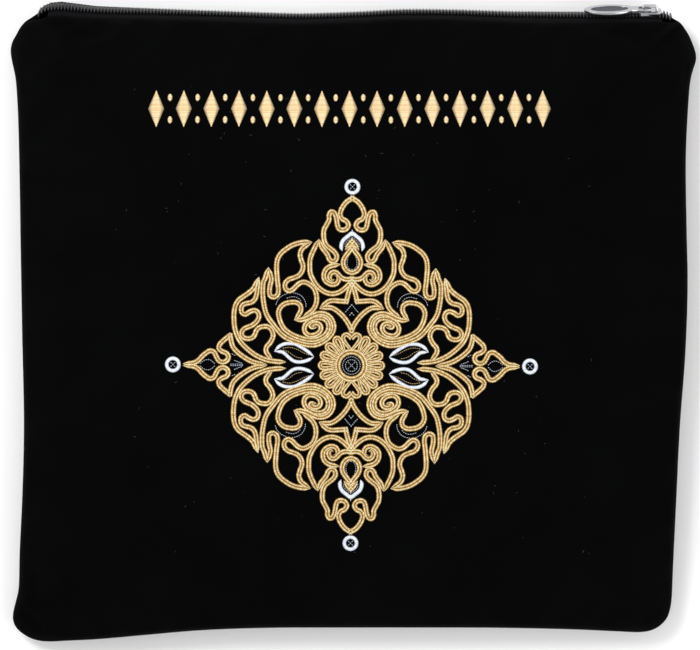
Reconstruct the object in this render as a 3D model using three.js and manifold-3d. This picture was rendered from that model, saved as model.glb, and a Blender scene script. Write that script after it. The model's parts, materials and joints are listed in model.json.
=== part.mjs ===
// A velvet tallit bag, lying on its back: a flat pouch of two velvet panels, seamed round three sides,
// with a coil zip along the top edge and couched gold braid on the front.
// Units are millimetres. +X runs along the zip, +Y towards the zip, +Z out of the embroidered front.
// The origin is the middle of the back, on the surface that the bag lies on.
import * as THREE from "three";
import Module from "manifold-3d";
import { mergeVertices } from "three/addons/utils/BufferGeometryUtils.js";

const wasm = await Module();
wasm.setup();

// The pouch
const BAG_WIDTH = 352; // side seam to side seam
const BAG_HEIGHT = 328; // bottom seam to zip
const BAG_DEPTH = 46; // the surface below it to the crown of the front
const PANEL_WALL = 2.0; // velvet with its backing
const SEAM_LIFT = 17; // the side and bottom seams above the surface
const CORNER_LIFT = 9; // the seam at the corners
const SEAM_GAP = 0.3; // between the edges of the two panels
const REST_SHARE = 0.64; // the part of the back, from its middle, that lies flat
const CLEARANCE = 0.3; // between pieces that touch on the real bag

// The zip
const COIL_WIDTH = 6.0;
const COIL_HEIGHT = 1.6;
const VELVET_LIFT = 0.6; // between the tape and the velvet's folded edge
const TAPE_THICKNESS = 0.8;
const TAPE_SHOWN_FRONT = 4.2; // tape between the coil and the front's velvet
const TAPE_SHOWN_BACK = 2.8;
const TAPE_SPLIT = 0.4; // between the two tapes under the coil
const TAPE_PARTING = 2.4; // the length over which they part for the slider's post
const TAPE_TUCK = 1.8; // tape under the edge of the velvet
const TAPE_SHY = 6; // the tapes stop short of the zip's two ends
const ZIP_LIFT = 17; // the coil above the surface
const ZIP_CORNER_DROP = 6; // how far its two ends sink

// The slider and its pull
const SLIDER_FROM_END = 12.3; // its middle, from the zip's right end
const SLIDER_LENGTH = 12.4;
const SLIDER_WIDTH = 8.4;
const SLIDER_PLATE = 0.9;
const SLIDER_POST = 2.2;
const CROWN_LENGTH = 8.4;
const CROWN_WIDTH = 2.5;
const CROWN_THICKNESS = 0.9;
const PULL_THICKNESS = 1.2;
const PULL_BAR = 1.2;
const PULL_LOOP = 6.0; // pivot to the far end of the loop
const PULL_OVAL_LENGTH = 27;
const PULL_OVAL_WIDTH = 12;
const PULL_RIM = 2.2;
const PULL_RECESS = 0.3;
const PULL_DROOP = 2.0; // degrees that the pull leans down to the coil

// The embroidery
const MEDALLION_REACH = 94.5; // middle of the medallion to the middle of a compass ring
const MEDALLION_DROP = 23.3; // the medallion's middle below the bag's
const CHART_REACH = 178; // the same reach in squares of the embroiderer's chart
const BRAID_WIDTH = 2.3;
const BRAID_HEIGHT = 1.1;
const BRAID_STEP = 1.2; // along a stroke, before its points are thinned
const BRAID_TOLERANCE = 0.75;
const BRAID_SPAN = 7; // the longest straight piece of a stroke
const SATIN_WIDTH = 2.0;
const RING_RADIUS = 3.2; // the middle of a compass ring's band
const RING_BAND = 2.1;
const PETALS = 14;
const BORDER_RISE = 112; // the border above the bag's middle
const BORDER_LENGTH = 214;
const BORDER_LOZENGES = 15;
const LOZENGE_HEIGHT = 19;
const LOZENGE_WIDTH = 8.4;

const COLOURS = {
  velvet: [0x0b0b0d, 0.95, 0],
  tape: [0x1c1d22, 0.9, 0],
  coil: [0x101114, 0.35, 0],
  metal: [0xc9c9cc, 0.22, 1],
  gold: [0xd8b26a, 0.5, 0],
  white: [0xdfe4f0, 0.5, 0],
};

// The zip's coil from left to right: shares of half the width and height, and its lean to the front
// in degrees.
const ZIP_LINE = [
  { x: -0.952, y: 0.99, lean: 36 },
  { x: -0.938, y: 1.004, lean: 36 },
  { x: -0.915, y: 1.013, lean: 36 },
  { x: -0.88, y: 1.016, lean: 36 },
  { x: -0.775, y: 1.005, lean: 30 },
  { x: -0.6, y: 0.999, lean: 25 },
  { x: -0.37, y: 0.991, lean: 22 },
  { x: -0.16, y: 0.984, lean: 22 },
  { x: 0.0, y: 0.989, lean: 22 },
  { x: 0.15, y: 0.997, lean: 22 },
  { x: 0.3, y: 0.996, lean: 22 },
  { x: 0.48, y: 0.99, lean: 24 },
  { x: 0.7, y: 0.988, lean: 26 },
  { x: 0.83, y: 0.989, lean: 26 },
  { x: 0.93, y: 0.989, lean: 26 },
  { x: 0.944, y: 0.986, lean: 26 },
  { x: 0.962, y: 0.979, lean: 26 },
];

// The seam, clockwise from the zip's right end to its left: shares of half the width and height.
const SEAM_LINE = [
  { x: 0.985, y: 0.96 },
  { x: 0.993, y: 0.942 },
  { x: 1.006, y: 0.92 },
  { x: 1.019, y: 0.894 },
  { x: 1.032, y: 0.866 },
  { x: 1.034, y: 0.848 },
  { x: 1.026, y: 0.822 },
  { x: 1.017, y: 0.785 },
  { x: 1.009, y: 0.69 },
  { x: 1.002, y: 0.53 },
  { x: 1.004, y: 0.3 },
  { x: 1.007, y: 0.12 },
  { x: 1.0, y: -0.1 },
  { x: 0.984, y: -0.33 },
  { x: 0.973, y: -0.58 },
  { x: 0.964, y: -0.8 },
  { x: 0.961, y: -0.89 },
  { x: 0.957, y: -0.925 },
  { x: 0.947, y: -0.957 },
  { x: 0.925, y: -0.983 },
  { x: 0.898, y: -0.998 },
  { x: 0.862, y: -1.003 },
  { x: 0.8, y: -1.0 },
  { x: 0.67, y: -0.993 },
  { x: 0.44, y: -0.987 },
  { x: 0.2, y: -0.986 },
  { x: -0.03, y: -0.986 },
  { x: -0.26, y: -0.987 },
  { x: -0.46, y: -0.995 },
  { x: -0.62, y: -1.01 },
  { x: -0.77, y: -1.025 },
  { x: -0.87, y: -1.031 },
  { x: -0.918, y: -1.033 },
  { x: -0.953, y: -1.026 },
  { x: -0.985, y: -1.008 },
  { x: -1.009, y: -0.983 },
  { x: -1.017, y: -0.957 },
  { x: -1.012, y: -0.915 },
  { x: -1.003, y: -0.87 },
  { x: -1.0, y: -0.74 },
  { x: -0.99, y: -0.55 },
  { x: -0.986, y: -0.33 },
  { x: -0.991, y: -0.05 },
  { x: -0.996, y: 0.25 },
  { x: -1.0, y: 0.5 },
  { x: -1.006, y: 0.7 },
  { x: -1.013, y: 0.8 },
  { x: -1.024, y: 0.85 },
  { x: -1.027, y: 0.882 },
  { x: -1.018, y: 0.909 },
  { x: -1.004, y: 0.928 },
  { x: -0.995, y: 0.953 },
  { x: -0.98, y: 0.973 },
];

// One quarter of the medallion's braid in squares of the chart, out from its middle.
const BRAID_CHART = {
  point: {
    point_leaf: [
      [166, -0.5], [158, 1.5], [153, 4.5], [148.5, 9.4], [144.5, 12.2], [141, 13.2], [137.5, 12], [135, 8.2],
      [132, 4.6], [128, 3], [124, 4.8], [122.6, 8], [124.5, 11.6], [129, 13.6], [132, 16], [131.5, 19.4],
      [127.5, 24], [120.5, 28.8],
    ],
    point_stem: [[120.5, 28.8], [120, 24.5], [118, 18.5], [113.5, 13.4], [107, 8.4], [100.5, 4.5],
      [93.5, 1.5], [84, 0]],
  },
  spray: {
    side_lobe: [
      [92.7, 86.5], [97.7, 77.3], [102.2, 72.7], [107.9, 68.9], [111.7, 65.7], [115.5, 60],
      [117.2, 53], [117.4, 46],
      [116.4, 37], [112.8, 27.5], [108.3, 21.2], [98.7, 12.6], [92.5, 8.9], [85, 5.3], [76.5, 2.9],
      [64.5, 1.6],
    ],
    side_wave: [
      [92.7, 86.5], [94.7, 77], [95.3, 70.5], [96.9, 65.8], [99.4, 62.2], [105.8, 59.4],
      [109.4, 57.6], [110.2, 55],
      [109, 52], [106, 50.6], [101.8, 52], [97.3, 53], [93.8, 51.5], [92.6, 47.5], [93.8, 43.5], [99.7, 38.1],
      [103.5, 37.6], [107.3, 36.2], [109.7, 33.4], [109.2, 30], [106.6, 27.2], [102.6, 26],
      [98.6, 27.6], [96, 31],
      [94.5, 34.9], [91.9, 37.7], [87.7, 38.9], [83.3, 38.6], [80, 36], [78.3, 31], [78.9, 27.2],
      [81.4, 22.5],
      [84.2, 19.1], [84.8, 14.7], [82.9, 9.7], [79.4, 4.9],
    ],
  },
  scroll: {
    long_scroll: [
      [83.4, 97], [86.4, 87.5], [88.8, 82.9], [90, 74], [89.2, 65.5], [86, 53.5], [83, 47.7], [79.3, 42.6],
      [75.2, 37.1], [70.4, 31.6], [65.1, 27.5], [59.1, 24.7], [52, 22.3], [44.6, 20.8], [36.6, 21],
      [29.6, 23.4],
      [23.4, 27.8], [18.7, 33.4], [16.5, 39.4], [18.4, 45.9], [22.8, 50.9], [27.9, 53], [33, 52.8],
      [38.4, 50.6],
      [44.8, 47.4], [50.8, 45.5], [57, 44.9],
    ],
    inner_scroll: [
      [57, 44.9], [53.4, 50.1], [50.8, 55.9], [51.8, 60.9], [55.9, 63.5], [61.2, 63.7], [66.9, 62],
      [71, 58.6],
      [73.2, 53.6], [72.5, 48.2], [70.7, 42.6], [67.5, 37.2], [62.9, 33.2], [57.5, 30.2],
      [51.3, 27.8], [44.7, 26.2],
      [37.3, 26], [30, 28.4], [24.6, 32.6], [22, 38.5], [23.4, 44], [27.9, 47.6], [33.8, 48.2], [39.6, 46.6],
      [44.5, 43], [46.7, 38.3], [46.1, 33.5], [42.3, 30.6], [37.3, 30.8], [32.9, 33], [30.7, 37],
      [31.6, 40.8],
      [35, 42.8], [38.8, 41.4], [40.8, 38],
    ],
    leaf_lobe: [
      [39.7, 123.4], [45.2, 123.3], [52.6, 122.4], [59.2, 120.4], [65.5, 116.6], [70.7, 112.2], [73.9, 107],
      [75.2, 100.6], [74.4, 86.6], [72.9, 74.2], [74.1, 70.2], [77.9, 67.9], [81.5, 69.6], [82.6, 73.5],
      [82, 79], [80.6, 86], [82, 92], [83.4, 97],
    ],
    leaf_hook: [
      [39.7, 123.4], [45.6, 120.1], [50, 116.3], [51.9, 111.1], [50.7, 105.7], [48.7, 100.1], [49.6, 94.7],
      [53, 90.1], [57.7, 87.8], [62.6, 86.1], [65.9, 83.3], [66.9, 79.6], [65.7, 76], [62.5, 73.9],
      [58.9, 75.1],
      [55.3, 78.7], [51.9, 81.7], [47.9, 82.7], [43.3, 81], [38.6, 78], [36, 72.4], [35, 66.8], [35.8, 61.2],
      [38.8, 55.8], [43.4, 51.8], [49.1, 48.4],
    ],
  },
  heart: {
    heart_lobe: [
      [33.1, 124.8], [37.6, 117.2], [40.1, 111.8], [41.9, 105.8], [42.2, 99.3], [41.6, 92.8], [39.4, 87.2],
      [35.8, 81], [31.4, 76.2], [25.5, 72.4], [19.2, 71], [13.1, 72.9], [7.9, 76.5], [3.5, 80.9],
      [-0.5, 85.5],
    ],
    heart_loop: [
      [33.1, 124.8], [29.8, 118.4], [26.6, 114.4], [24.3, 110.4], [22.7, 106.3], [19.5, 104.1], [16.4, 105.6],
      [15.4, 109.5], [17.5, 113.4], [21.8, 116.8], [25.6, 120], [27.8, 124.4], [28.6, 130.8], [28.3, 136],
      [25.7, 140.8], [23.1, 145.8], [22.4, 152.3],
    ],
    crown_loop: [
      [22.4, 152.3], [18.7, 150.2], [16.3, 145.8], [15.4, 140.8], [13.5, 136.6], [9.6, 134.8], [5.6, 136.8],
      [4.4, 140.8], [6.6, 144.2], [10.2, 146.4], [12.2, 150.4], [11.2, 155.4], [8.6, 160.2],
      [4.8, 164.4], [-0.5, 167],
    ],
    drop: [[-0.5, 118.9], [3.7, 113.4], [7.5, 108.4], [9.5, 104], [9.1, 99.8], [6.5, 95.6],
      [3.1, 93.2], [-0.5, 92.4]],
    drop_peak: [[5.2, 117.4], [3, 121], [-0.5, 124.3]],
    volute: [
      [10.4, 102.9], [16.4, 101.2], [22.6, 100.3], [27.4, 96.9], [29.6, 91.3], [28.6, 85.9], [25, 81.5],
      [19.2, 79.3], [14.2, 80.9], [12.4, 84.5], [14, 87.8], [17.4, 88],
    ],
    volute_stem: [
      [-0.5, 88.5], [6, 87.9], [10.2, 90.3], [13.4, 93.9], [18, 95.4], [22.4, 93.3], [24.2, 88.9],
      [23, 84.9], [19.4, 83.5],
    ],
    star_shoulder: [[-0.5, 82], [2.8, 74.4], [4.6, 68], [6.4, 64.6], [12, 64.2], [20.3, 64.7],
      [25.8, 62.8], [30.5, 57.6]],
    star_foot: [[30.5, 57.6], [25.4, 57.8], [18.8, 56.6], [12, 53.4], [6.2, 48.2], [2.4, 42], [0, 36.5]],
  },
};

// The white satin pieces of one quarter, in the same squares.
const LEAF_CHART = [
  [76.6, 14], [73.4, 16.6], [68.6, 18.4], [62.6, 18.9], [56.6, 18.1], [50.6, 16], [45.2, 13.2],
  [41, 10.4], [38, 7.6],
  [42.6, 6], [48, 4.7], [53.6, 4.3], [58.6, 5.6], [62.8, 8.7], [66.6, 12], [71, 13.4],
];
// The flower in the middle: the radius of its ring of braid, and of its petals' feet and shoulders.
const ROSETTE_CHART = { ring: 12.6, petalFoot: 15, petalHead: 25.5 };
const CRESCENT_CHART = [[10.8, 114.4], [12.2, 118.6], [11.2, 123], [8.2, 126.2], [4.2, 129], [0, 132]];

const half = (size) => size / 2;
const halfWidth = half(BAG_WIDTH);
const halfHeight = half(BAG_HEIGHT);
const square = MEDALLION_REACH / CHART_REACH;
const mix = (a, b, t) => a + (b - a) * t;
const rad = THREE.MathUtils.degToRad;

// Solids and meshes

const JOIN_TOLERANCE = 0.05; // slivers that a join leaves are taken off within this

function solidOf(geometry) {
  const bare = new THREE.BufferGeometry();
  bare.setAttribute("position", geometry.getAttribute("position"));
  if (geometry.index) bare.setIndex(geometry.index);
  const merged = mergeVertices(bare, 1e-4);
  const solid = new wasm.Manifold(
    new wasm.Mesh({
      numProp: 3,
      vertProperties: new Float32Array(merged.attributes.position.array),
      triVerts: new Uint32Array(merged.index.array),
    }),
  );
  if (solid.volume() < 0) throw new Error("a solid is inside out");
  return solid;
}

function geometryOf(solid) {
  const mesh = solid.simplify(JOIN_TOLERANCE).getMesh();
  const geometry = new THREE.BufferGeometry();
  geometry.setAttribute("position", new THREE.BufferAttribute(new Float32Array(mesh.vertProperties), 3));
  geometry.setIndex(new THREE.BufferAttribute(new Uint32Array(mesh.triVerts), 1));
  return geometry;
}

// A closed mesh from corner points and faces of three or four corners, turned to face out.
function closedMesh(points, faces) {
  const triangles = faces.flatMap((f) => (f.length === 3 ? [f] : [[f[0], f[1], f[2]], [f[0], f[2], f[3]]]));
  let volume = 0;
  for (const [a, b, c] of triangles) {
    volume += points[a].dot(new THREE.Vector3().crossVectors(points[b], points[c]));
  }
  const order = volume < 0 ? triangles.map(([a, b, c]) => [a, c, b]) : triangles;
  const geometry = new THREE.BufferGeometry();
  geometry.setAttribute("position", new THREE.Float32BufferAttribute(points.flatMap((p) => p.toArray()), 3));
  geometry.setIndex(order.flat());
  return geometry;
}

// A body swept through rings that all have the same number of corners.
function loft(rings) {
  const n = rings[0].length;
  const last = (rings.length - 1) * n;
  const faces = [];
  for (let j = 1; j + 1 < n; j++) {
    faces.push([0, j + 1, j]);
    faces.push([last, last + j, last + j + 1]);
  }
  for (let i = 0; i + 1 < rings.length; i++) {
    for (let j = 0; j < n; j++) {
      const k = (j + 1) % n;
      faces.push([i * n + j, i * n + k, (i + 1) * n + k, (i + 1) * n + j]);
    }
  }
  return closedMesh(rings.flat(), faces);
}

function named(name, geometry, colour) {
  const [color, roughness, metalness] = COLOURS[colour];
  const mesh = new THREE.Mesh(geometry, new THREE.MeshStandardMaterial({ color, roughness, metalness }));
  mesh.name = name;
  return mesh;
}

// The zip's own line

const zipRows = ZIP_LINE.map((row) => {
  const x = row.x * halfWidth;
  const z = ZIP_LIFT - ZIP_CORNER_DROP * Math.abs(row.x) ** 24;
  return { x, lean: rad(row.lean), y: row.y * halfHeight, z };
});
const zipEnds = [zipRows[0].x, zipRows.at(-1).x];
const sliderPlace = zipEnds[1] - SLIDER_FROM_END;

// The two rows of the zip's line that x lies between, and its share of the way.
function zipSpan(x) {
  const last = zipRows.length - 2;
  const found = zipRows.findIndex((_, n) => n < last && x < zipRows[n + 1].x);
  const i = found < 0 ? last : found;
  const [a, b] = [zipRows[i], zipRows[i + 1]];
  return { a, b, t: (x - a.x) / (b.x - a.x) };
}

// The middle of the zip under the coil: its place, and the ways across its face and out of it.
function zipFrame(x, y, z, lean) {
  return {
    place: new THREE.Vector3(x, y, z),
    across: new THREE.Vector3(0, -Math.sin(lean), Math.cos(lean)),
    out: new THREE.Vector3(0, Math.cos(lean), Math.sin(lean)),
  };
}

function zipAt(x) {
  const { a, b, t } = zipSpan(x);
  return zipFrame(x, mix(a.y, b.y, t), mix(a.z, b.z, t), mix(a.lean, b.lean, t));
}

const zipPoint = (x, across, out) => {
  const at = zipAt(x);
  return at.place.clone().addScaledVector(at.across, across).addScaledVector(at.out, out);
};

// Where the tape meets the velvet, on the front (side +1) or the back (side -1).
function tapeEdge(x, side) {
  const edgeOf = (row) => {
    const atEnd = row === zipRows[0] || row === zipRows.at(-1);
    const shown = atEnd ? CLEARANCE : side > 0 ? TAPE_SHOWN_FRONT : TAPE_SHOWN_BACK;
    const frame = zipFrame(row.x, row.y, row.z, row.lean);
    return frame.place.addScaledVector(frame.across, side * (half(COIL_WIDTH) + shown));
  };
  const { a, b, t } = zipSpan(x);
  return edgeOf(a).lerp(edgeOf(b), t);
}

// The two panels

// How far a point of the rim is a corner of the bag: 0 along the sides, near 1 at the corners.
const cornerShare = (x, y) => Math.min(1, Math.abs((x / halfWidth) ** 3 * (y / halfHeight) ** 3));
const seamHeight = (x, y) => mix(SEAM_LIFT, CORNER_LIFT, cornerShare(x, y));

// The rim of one panel: side +1 is the front and -1 the back. Along the zip it stops at the edge of the tape.
// Each point also gets evenZ, the rim's height evened out along it, which the middle of the panel follows.
const EVENING = 30;
function rimOf(side) {
  const alongZip = zipRows.map((row) => {
    const edge = tapeEdge(row.x, side);
    return edge.setZ(edge.z + side * (half(TAPE_THICKNESS) + VELVET_LIFT));
  });
  const alongSeam = SEAM_LINE.map(({ x, y }) => {
    const place = new THREE.Vector3(x * halfWidth, y * halfHeight, 0);
    return place.setZ(seamHeight(place.x, place.y) + half(SEAM_GAP) * side);
  });
  const rims = [...alongZip, ...alongSeam];
  const n = rims.length;
  let even = rims.map((rim) => rim.z);
  for (let pass = 0; pass < EVENING; pass++) {
    even = even.map((z, i) => (even[(i + n - 1) % n] + 2 * z + even[(i + 1) % n]) / 4);
  }
  rims.forEach((rim, i) => (rim.evenZ = even[i]));
  return rims;
}

// How round the panel's contours are in from the rim: 0 keeps them square, like the rim.
const CONTOUR_POWER = 4;

// The height of a panel's outer face, r of the way from the middle of the bag to this point of the rim.
function faceHeight(side, rim, r) {
  const [u, v] = [Math.abs(rim.x / halfWidth), Math.abs(rim.y / halfHeight)];
  const squareness = (u ** CONTOUR_POWER + v ** CONTOUR_POWER) ** (1 / CONTOUR_POWER);
  const e = r * mix(squareness, 1, r ** 3);
  const edge = mix(rim.evenZ, rim.z, r ** 8);
  if (side > 0) return mix(BAG_DEPTH, edge, 1 - (1 - Math.min(1, e) ** 3) ** 0.62);
  const s = Math.max(0, (Math.min(1, e) - REST_SHARE) / (1 - REST_SHARE));
  return edge * (1 - (1 - s ** 2) ** 0.6);
}

const OUTER_RINGS = [0, 0.34, REST_SHARE, 0.79, 0.89, 0.96, 1];
const INNER_RINGS = [0, REST_SHARE, 0.88, 1];

function ringOf(side, rims, r) {
  return rims.map((rim) => new THREE.Vector3(rim.x * r, rim.y * r, faceHeight(side, rim, r)));
}

// The inside of the wall lies one wall in from the outer face, and meets the rim one wall in from its edge.
function innerRingOf(side, rims, r) {
  return rims.map((rim) => {
    const reach = Math.hypot(rim.x, rim.y);
    const shrink = 1 - PANEL_WALL / reach;
    const outer = faceHeight(side, rim, r * shrink);
    const inset = Math.min(PANEL_WALL, Math.abs(outer - rim.z));
    const z = r === 1 ? rim.z : outer - side * inset;
    return new THREE.Vector3(rim.x * r * shrink, rim.y * r * shrink, z);
  });
}

function panel(side) {
  const rims = rimOf(side);
  const n = rims.length;
  const points = [];
  const faces = [];
  const starts = [];
  for (const [rings, ringAt] of [[OUTER_RINGS, ringOf], [INNER_RINGS, innerRingOf]]) {
    const pole = points.length;
    points.push(ringAt(side, rims, 0)[0]);
    const first = points.length;
    for (const r of rings.slice(1)) points.push(...ringAt(side, rims, r));
    const outwards = ringAt === ringOf;
    for (let j = 0; j < n; j++) {
      const k = (j + 1) % n;
      faces.push(outwards ? [pole, first + k, first + j] : [pole, first + j, first + k]);
      for (let i = 0; i + 2 < rings.length; i++) {
        const quad = [first + i * n + j, first + i * n + k, first + (i + 1) * n + k, first + (i + 1) * n + j];
        faces.push(outwards ? quad : [...quad].reverse());
      }
    }
    starts.push(first + (rings.length - 2) * n);
  }
  for (let j = 0; j < n; j++) {
    const k = (j + 1) % n;
    faces.push([starts[0] + j, starts[0] + k, starts[1] + k, starts[1] + j]);
  }
  return closedMesh(points, faces);
}

// The front's own facets, so that the embroidery can lie on them.
const frontRims = rimOf(1);
function frontHeight(x, y) {
  const turn = Math.atan2(y, x);
  for (let j = 0; j < frontRims.length; j++) {
    const a = frontRims[j];
    const b = frontRims[(j + 1) % frontRims.length];
    const cross = a.x * b.y - a.y * b.x;
    const s = (x * b.y - y * b.x) / cross;
    const t = (a.x * y - a.y * x) / cross;
    if (s < -1e-9 || t < -1e-9) continue;
    const r = s + t;
    const share = r > 0 ? t / r : 0;
    const i = Math.min(OUTER_RINGS.findLastIndex((ring) => ring <= r), OUTER_RINGS.length - 2);
    const [r0, r1] = [OUTER_RINGS[i], OUTER_RINGS[i + 1]];
    const at = (ring) => mix(faceHeight(1, a, ring), faceHeight(1, b, ring), share);
    return mix(at(r0), at(r1), (r - r0) / (r1 - r0));
  }
  throw new Error("no facet of the front at turn " + turn);
}

// Embroidery

const onFront = (x, y, lift) => new THREE.Vector3(x, y, frontHeight(x, y) + lift);
const fromChart = (x, y) => new THREE.Vector2(x * square, y * square - MEDALLION_DROP);

// Cross-sections of raised thread: shares of its width and height.
const SATIN_SECTION = [[-0.5, 0], [0.5, 0], [0.34, 1], [-0.34, 1]];
const BRAID_SECTION = [[-0.5, 0], [0.5, 0], [0, 1]];

// A raised band of thread along a flat line, closed into a ring or with two ends.
function band(line, section, width, closed) {
  const n = line.length;
  const rings = line.map((p, i) => {
    const before = line[closed ? (i + n - 1) % n : Math.max(0, i - 1)];
    const after = line[closed ? (i + 1) % n : Math.min(n - 1, i + 1)];
    const side = new THREE.Vector2(before.y - after.y, after.x - before.x).normalize();
    return section.map(([share, lift]) => {
      const at = side.clone().multiplyScalar(share * width).add(p);
      return onFront(at.x, at.y, CLEARANCE + lift * BRAID_HEIGHT);
    });
  });
  if (!closed) return loft(rings);
  const m = section.length;
  const faces = rings.flatMap((_, i) =>
    section.map((_corner, j) => {
      const k = (j + 1) % m;
      const next = ((i + 1) % n) * m;
      return [i * m + j, i * m + k, next + k, next + j];
    }),
  );
  return closedMesh(rings.flat(), faces);
}

// The fewest points of a line that stay within the chart's tolerance of it.
function thinned(line) {
  const [a, b] = [line[0], line.at(-1)];
  const run = b.clone().sub(a);
  const off = line.map((p) => {
    const d = p.clone().sub(a);
    const t = THREE.MathUtils.clamp(d.dot(run) / Math.max(run.lengthSq(), 1e-9), 0, 1);
    return d.addScaledVector(run, -t).length();
  });
  const worst = off.indexOf(Math.max(...off));
  const straight = off[worst] < BRAID_TOLERANCE;
  if (line.length < 3 || (straight && run.length() < BRAID_SPAN)) return [a, b];
  const at = straight ? Math.floor(half(line.length)) : worst;
  return [...thinned(line.slice(0, at + 1)).slice(0, -1), ...thinned(line.slice(at))];
}

// A smooth line through the chart's points, on one of its four quarters.
function chartLine(chart, right, up, step, closed = false) {
  const points = chart.map(([x, y]) => {
    const p = fromChart(x * right, y * up);
    return new THREE.Vector3(p.x, p.y, 0);
  });
  const curve = new THREE.CatmullRomCurve3(points, closed, "centripetal");
  const count = Math.max(3, Math.round(curve.getLength() / step));
  const line = curve.getSpacedPoints(count).map((p) => new THREE.Vector2(p.x, p.y));
  return closed ? line.slice(0, -1) : line;
}

const QUARTERS = [
  [-1, 1, "left_upper"], [1, 1, "right_upper"], [1, -1, "right_lower"], [-1, -1, "left_lower"],
];

// One motif of the braid in the quarters that it takes, all its strokes crossing or meeting.
function motif(name, key, quarters) {
  const solids = quarters.flatMap(([right, up]) =>
    Object.values(BRAID_CHART[key]).map((chart) =>
      solidOf(band(thinned(chartLine(chart, right, up, BRAID_STEP)), BRAID_SECTION, BRAID_WIDTH, false)),
    ),
  );
  return named(name, geometryOf(wasm.Manifold.union(solids)), "gold");
}

function medallionBraid() {
  const where = (test) => QUARTERS.filter(([right, up]) => test(right, up));
  return [
    motif("heart_top", "heart", where((_, up) => up > 0)),
    motif("heart_bottom", "heart", where((_, up) => up < 0)),
    ...QUARTERS.map((quarter) => motif("scroll_" + quarter[2], "scroll", [quarter])),
    motif("spray_left", "spray", where((right) => right < 0)),
    motif("spray_right", "spray", where((right) => right > 0)),
    motif("point_left", "point", where((right) => right < 0)),
    motif("point_right", "point", where((right) => right > 0)),
  ];
}

function circle(x, y, radius, count) {
  return Array.from({ length: count }, (_, i) => {
    const turn = (2 * Math.PI * i) / count;
    return new THREE.Vector2(x + radius * Math.cos(turn), y + radius * Math.sin(turn));
  });
}

// The flower in the middle: a ring of braid, and round it petals of braid that meet side by side.
function rosette() {
  const ringRadius = ROSETTE_CHART.ring * square;
  const petalFoot = ROSETTE_CHART.petalFoot * square;
  const petalHead = ROSETTE_CHART.petalHead * square;
  const step = (2 * Math.PI) / PETALS;
  const middle = fromChart(0, 0);
  const petals = Array.from({ length: PETALS }, (_, i) => {
    const turn = i * step;
    const spread = petalHead * Math.sin(half(step)) * 0.62;
    const line = [[petalFoot, -0.7], [petalHead, -1], [petalHead + spread * 1.3, -0.4],
      [petalHead + spread * 1.3, 0.4],
      [petalHead, 1], [petalFoot, 0.7]];
    return line.map(([out, side]) => {
      const aside = side * spread;
      return new THREE.Vector2(
        middle.x + out * Math.cos(turn) - aside * Math.sin(turn),
        middle.y + out * Math.sin(turn) + aside * Math.cos(turn),
      );
    });
  });
  const solids = petals.map((line) => solidOf(band(line, BRAID_SECTION, BRAID_WIDTH, false)));
  solids.push(solidOf(band(circle(middle.x, middle.y, ringRadius, 24), BRAID_SECTION,
    BRAID_WIDTH * 1.2, true)));
  return geometryOf(wasm.Manifold.union(solids));
}

function compassRings() {
  const names = [["top", 0, 1], ["right", 1, 0], ["bottom", 0, -1], ["left", -1, 0]];
  return names.map(([name, right, up]) => {
    const at = fromChart(right * CHART_REACH, up * CHART_REACH);
    const line = circle(at.x, at.y, RING_RADIUS, 12);
    return named("compass_ring_" + name, band(line, SATIN_SECTION, RING_BAND, true), "white");
  });
}

function satinLeaves() {
  return QUARTERS.map(([right, up, name]) =>
    named("leaf_" + name, band(chartLine(LEAF_CHART, right, up, 3.4, true), SATIN_SECTION,
      SATIN_WIDTH, true), "white"),
  );
}

function crescents() {
  return [[1, "top"], [-1, "bottom"]].map(([up, name]) => {
    const side = chartLine(CRESCENT_CHART, 1, up, 3);
    const mirrored = side.slice(0, -1).map((p) => new THREE.Vector2(-p.x, p.y));
    const line = [...side, ...mirrored.reverse()];
    return named("crescent_" + name, band(line, SATIN_SECTION, SATIN_WIDTH, false), "white");
  });
}

// The border of plain lozenges above the medallion, where such a bag carries its owner's name.
function borderLozenges() {
  const pitch = BORDER_LENGTH / BORDER_LOZENGES;
  return Array.from({ length: BORDER_LOZENGES }, (_, i) => {
    const x = (i - half(BORDER_LOZENGES - 1)) * pitch;
    const tips = [[0, 1], [-1, 0], [0, -1], [1, 0]];
    const rim = tips.flatMap(([a, b], j) => {
      const [c, d] = tips[(j + 1) % tips.length];
      return [[a, b], [half(a + c), half(b + d)]];
    });
    const ring = (share, lift) =>
      rim.map(([a, b]) => onFront(x + a * share * half(LOZENGE_WIDTH),
        BORDER_RISE + b * share * half(LOZENGE_HEIGHT), lift));
    const n = rim.length;
    const points = [...ring(1, CLEARANCE), ...ring(0.8, CLEARANCE + BRAID_HEIGHT)];
    points.push(onFront(x, BORDER_RISE, CLEARANCE), onFront(x, BORDER_RISE, CLEARANCE + BRAID_HEIGHT));
    const faces = rim.flatMap((_, j) => {
      const k = (j + 1) % n;
      return [[j, k, n + k, n + j], [2 * n, k, j], [2 * n + 1, n + j, n + k]];
    });
    return named("lozenge_" + String(i + 1).padStart(2, "0"), closedMesh(points, faces), "gold");
  });
}

// The zip

const sliderStart = sliderPlace - half(SLIDER_LENGTH);
const sliderEnd = sliderPlace + half(SLIDER_LENGTH);
const postStart = sliderPlace + 1.6;
const coilBase = half(TAPE_THICKNESS) + CLEARANCE;
const coilTop = coilBase + COIL_HEIGHT;

// The places along the zip where its pieces bend, between two ends, with any extra ones.
function stations(from, to, extra = []) {
  const bends = [from, to, ...zipRows.map((row) => row.x), ...extra];
  return bends.filter((x, i) => x >= from && x <= to && bends.indexOf(x) === i).sort((a, b) => a - b);
}

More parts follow.
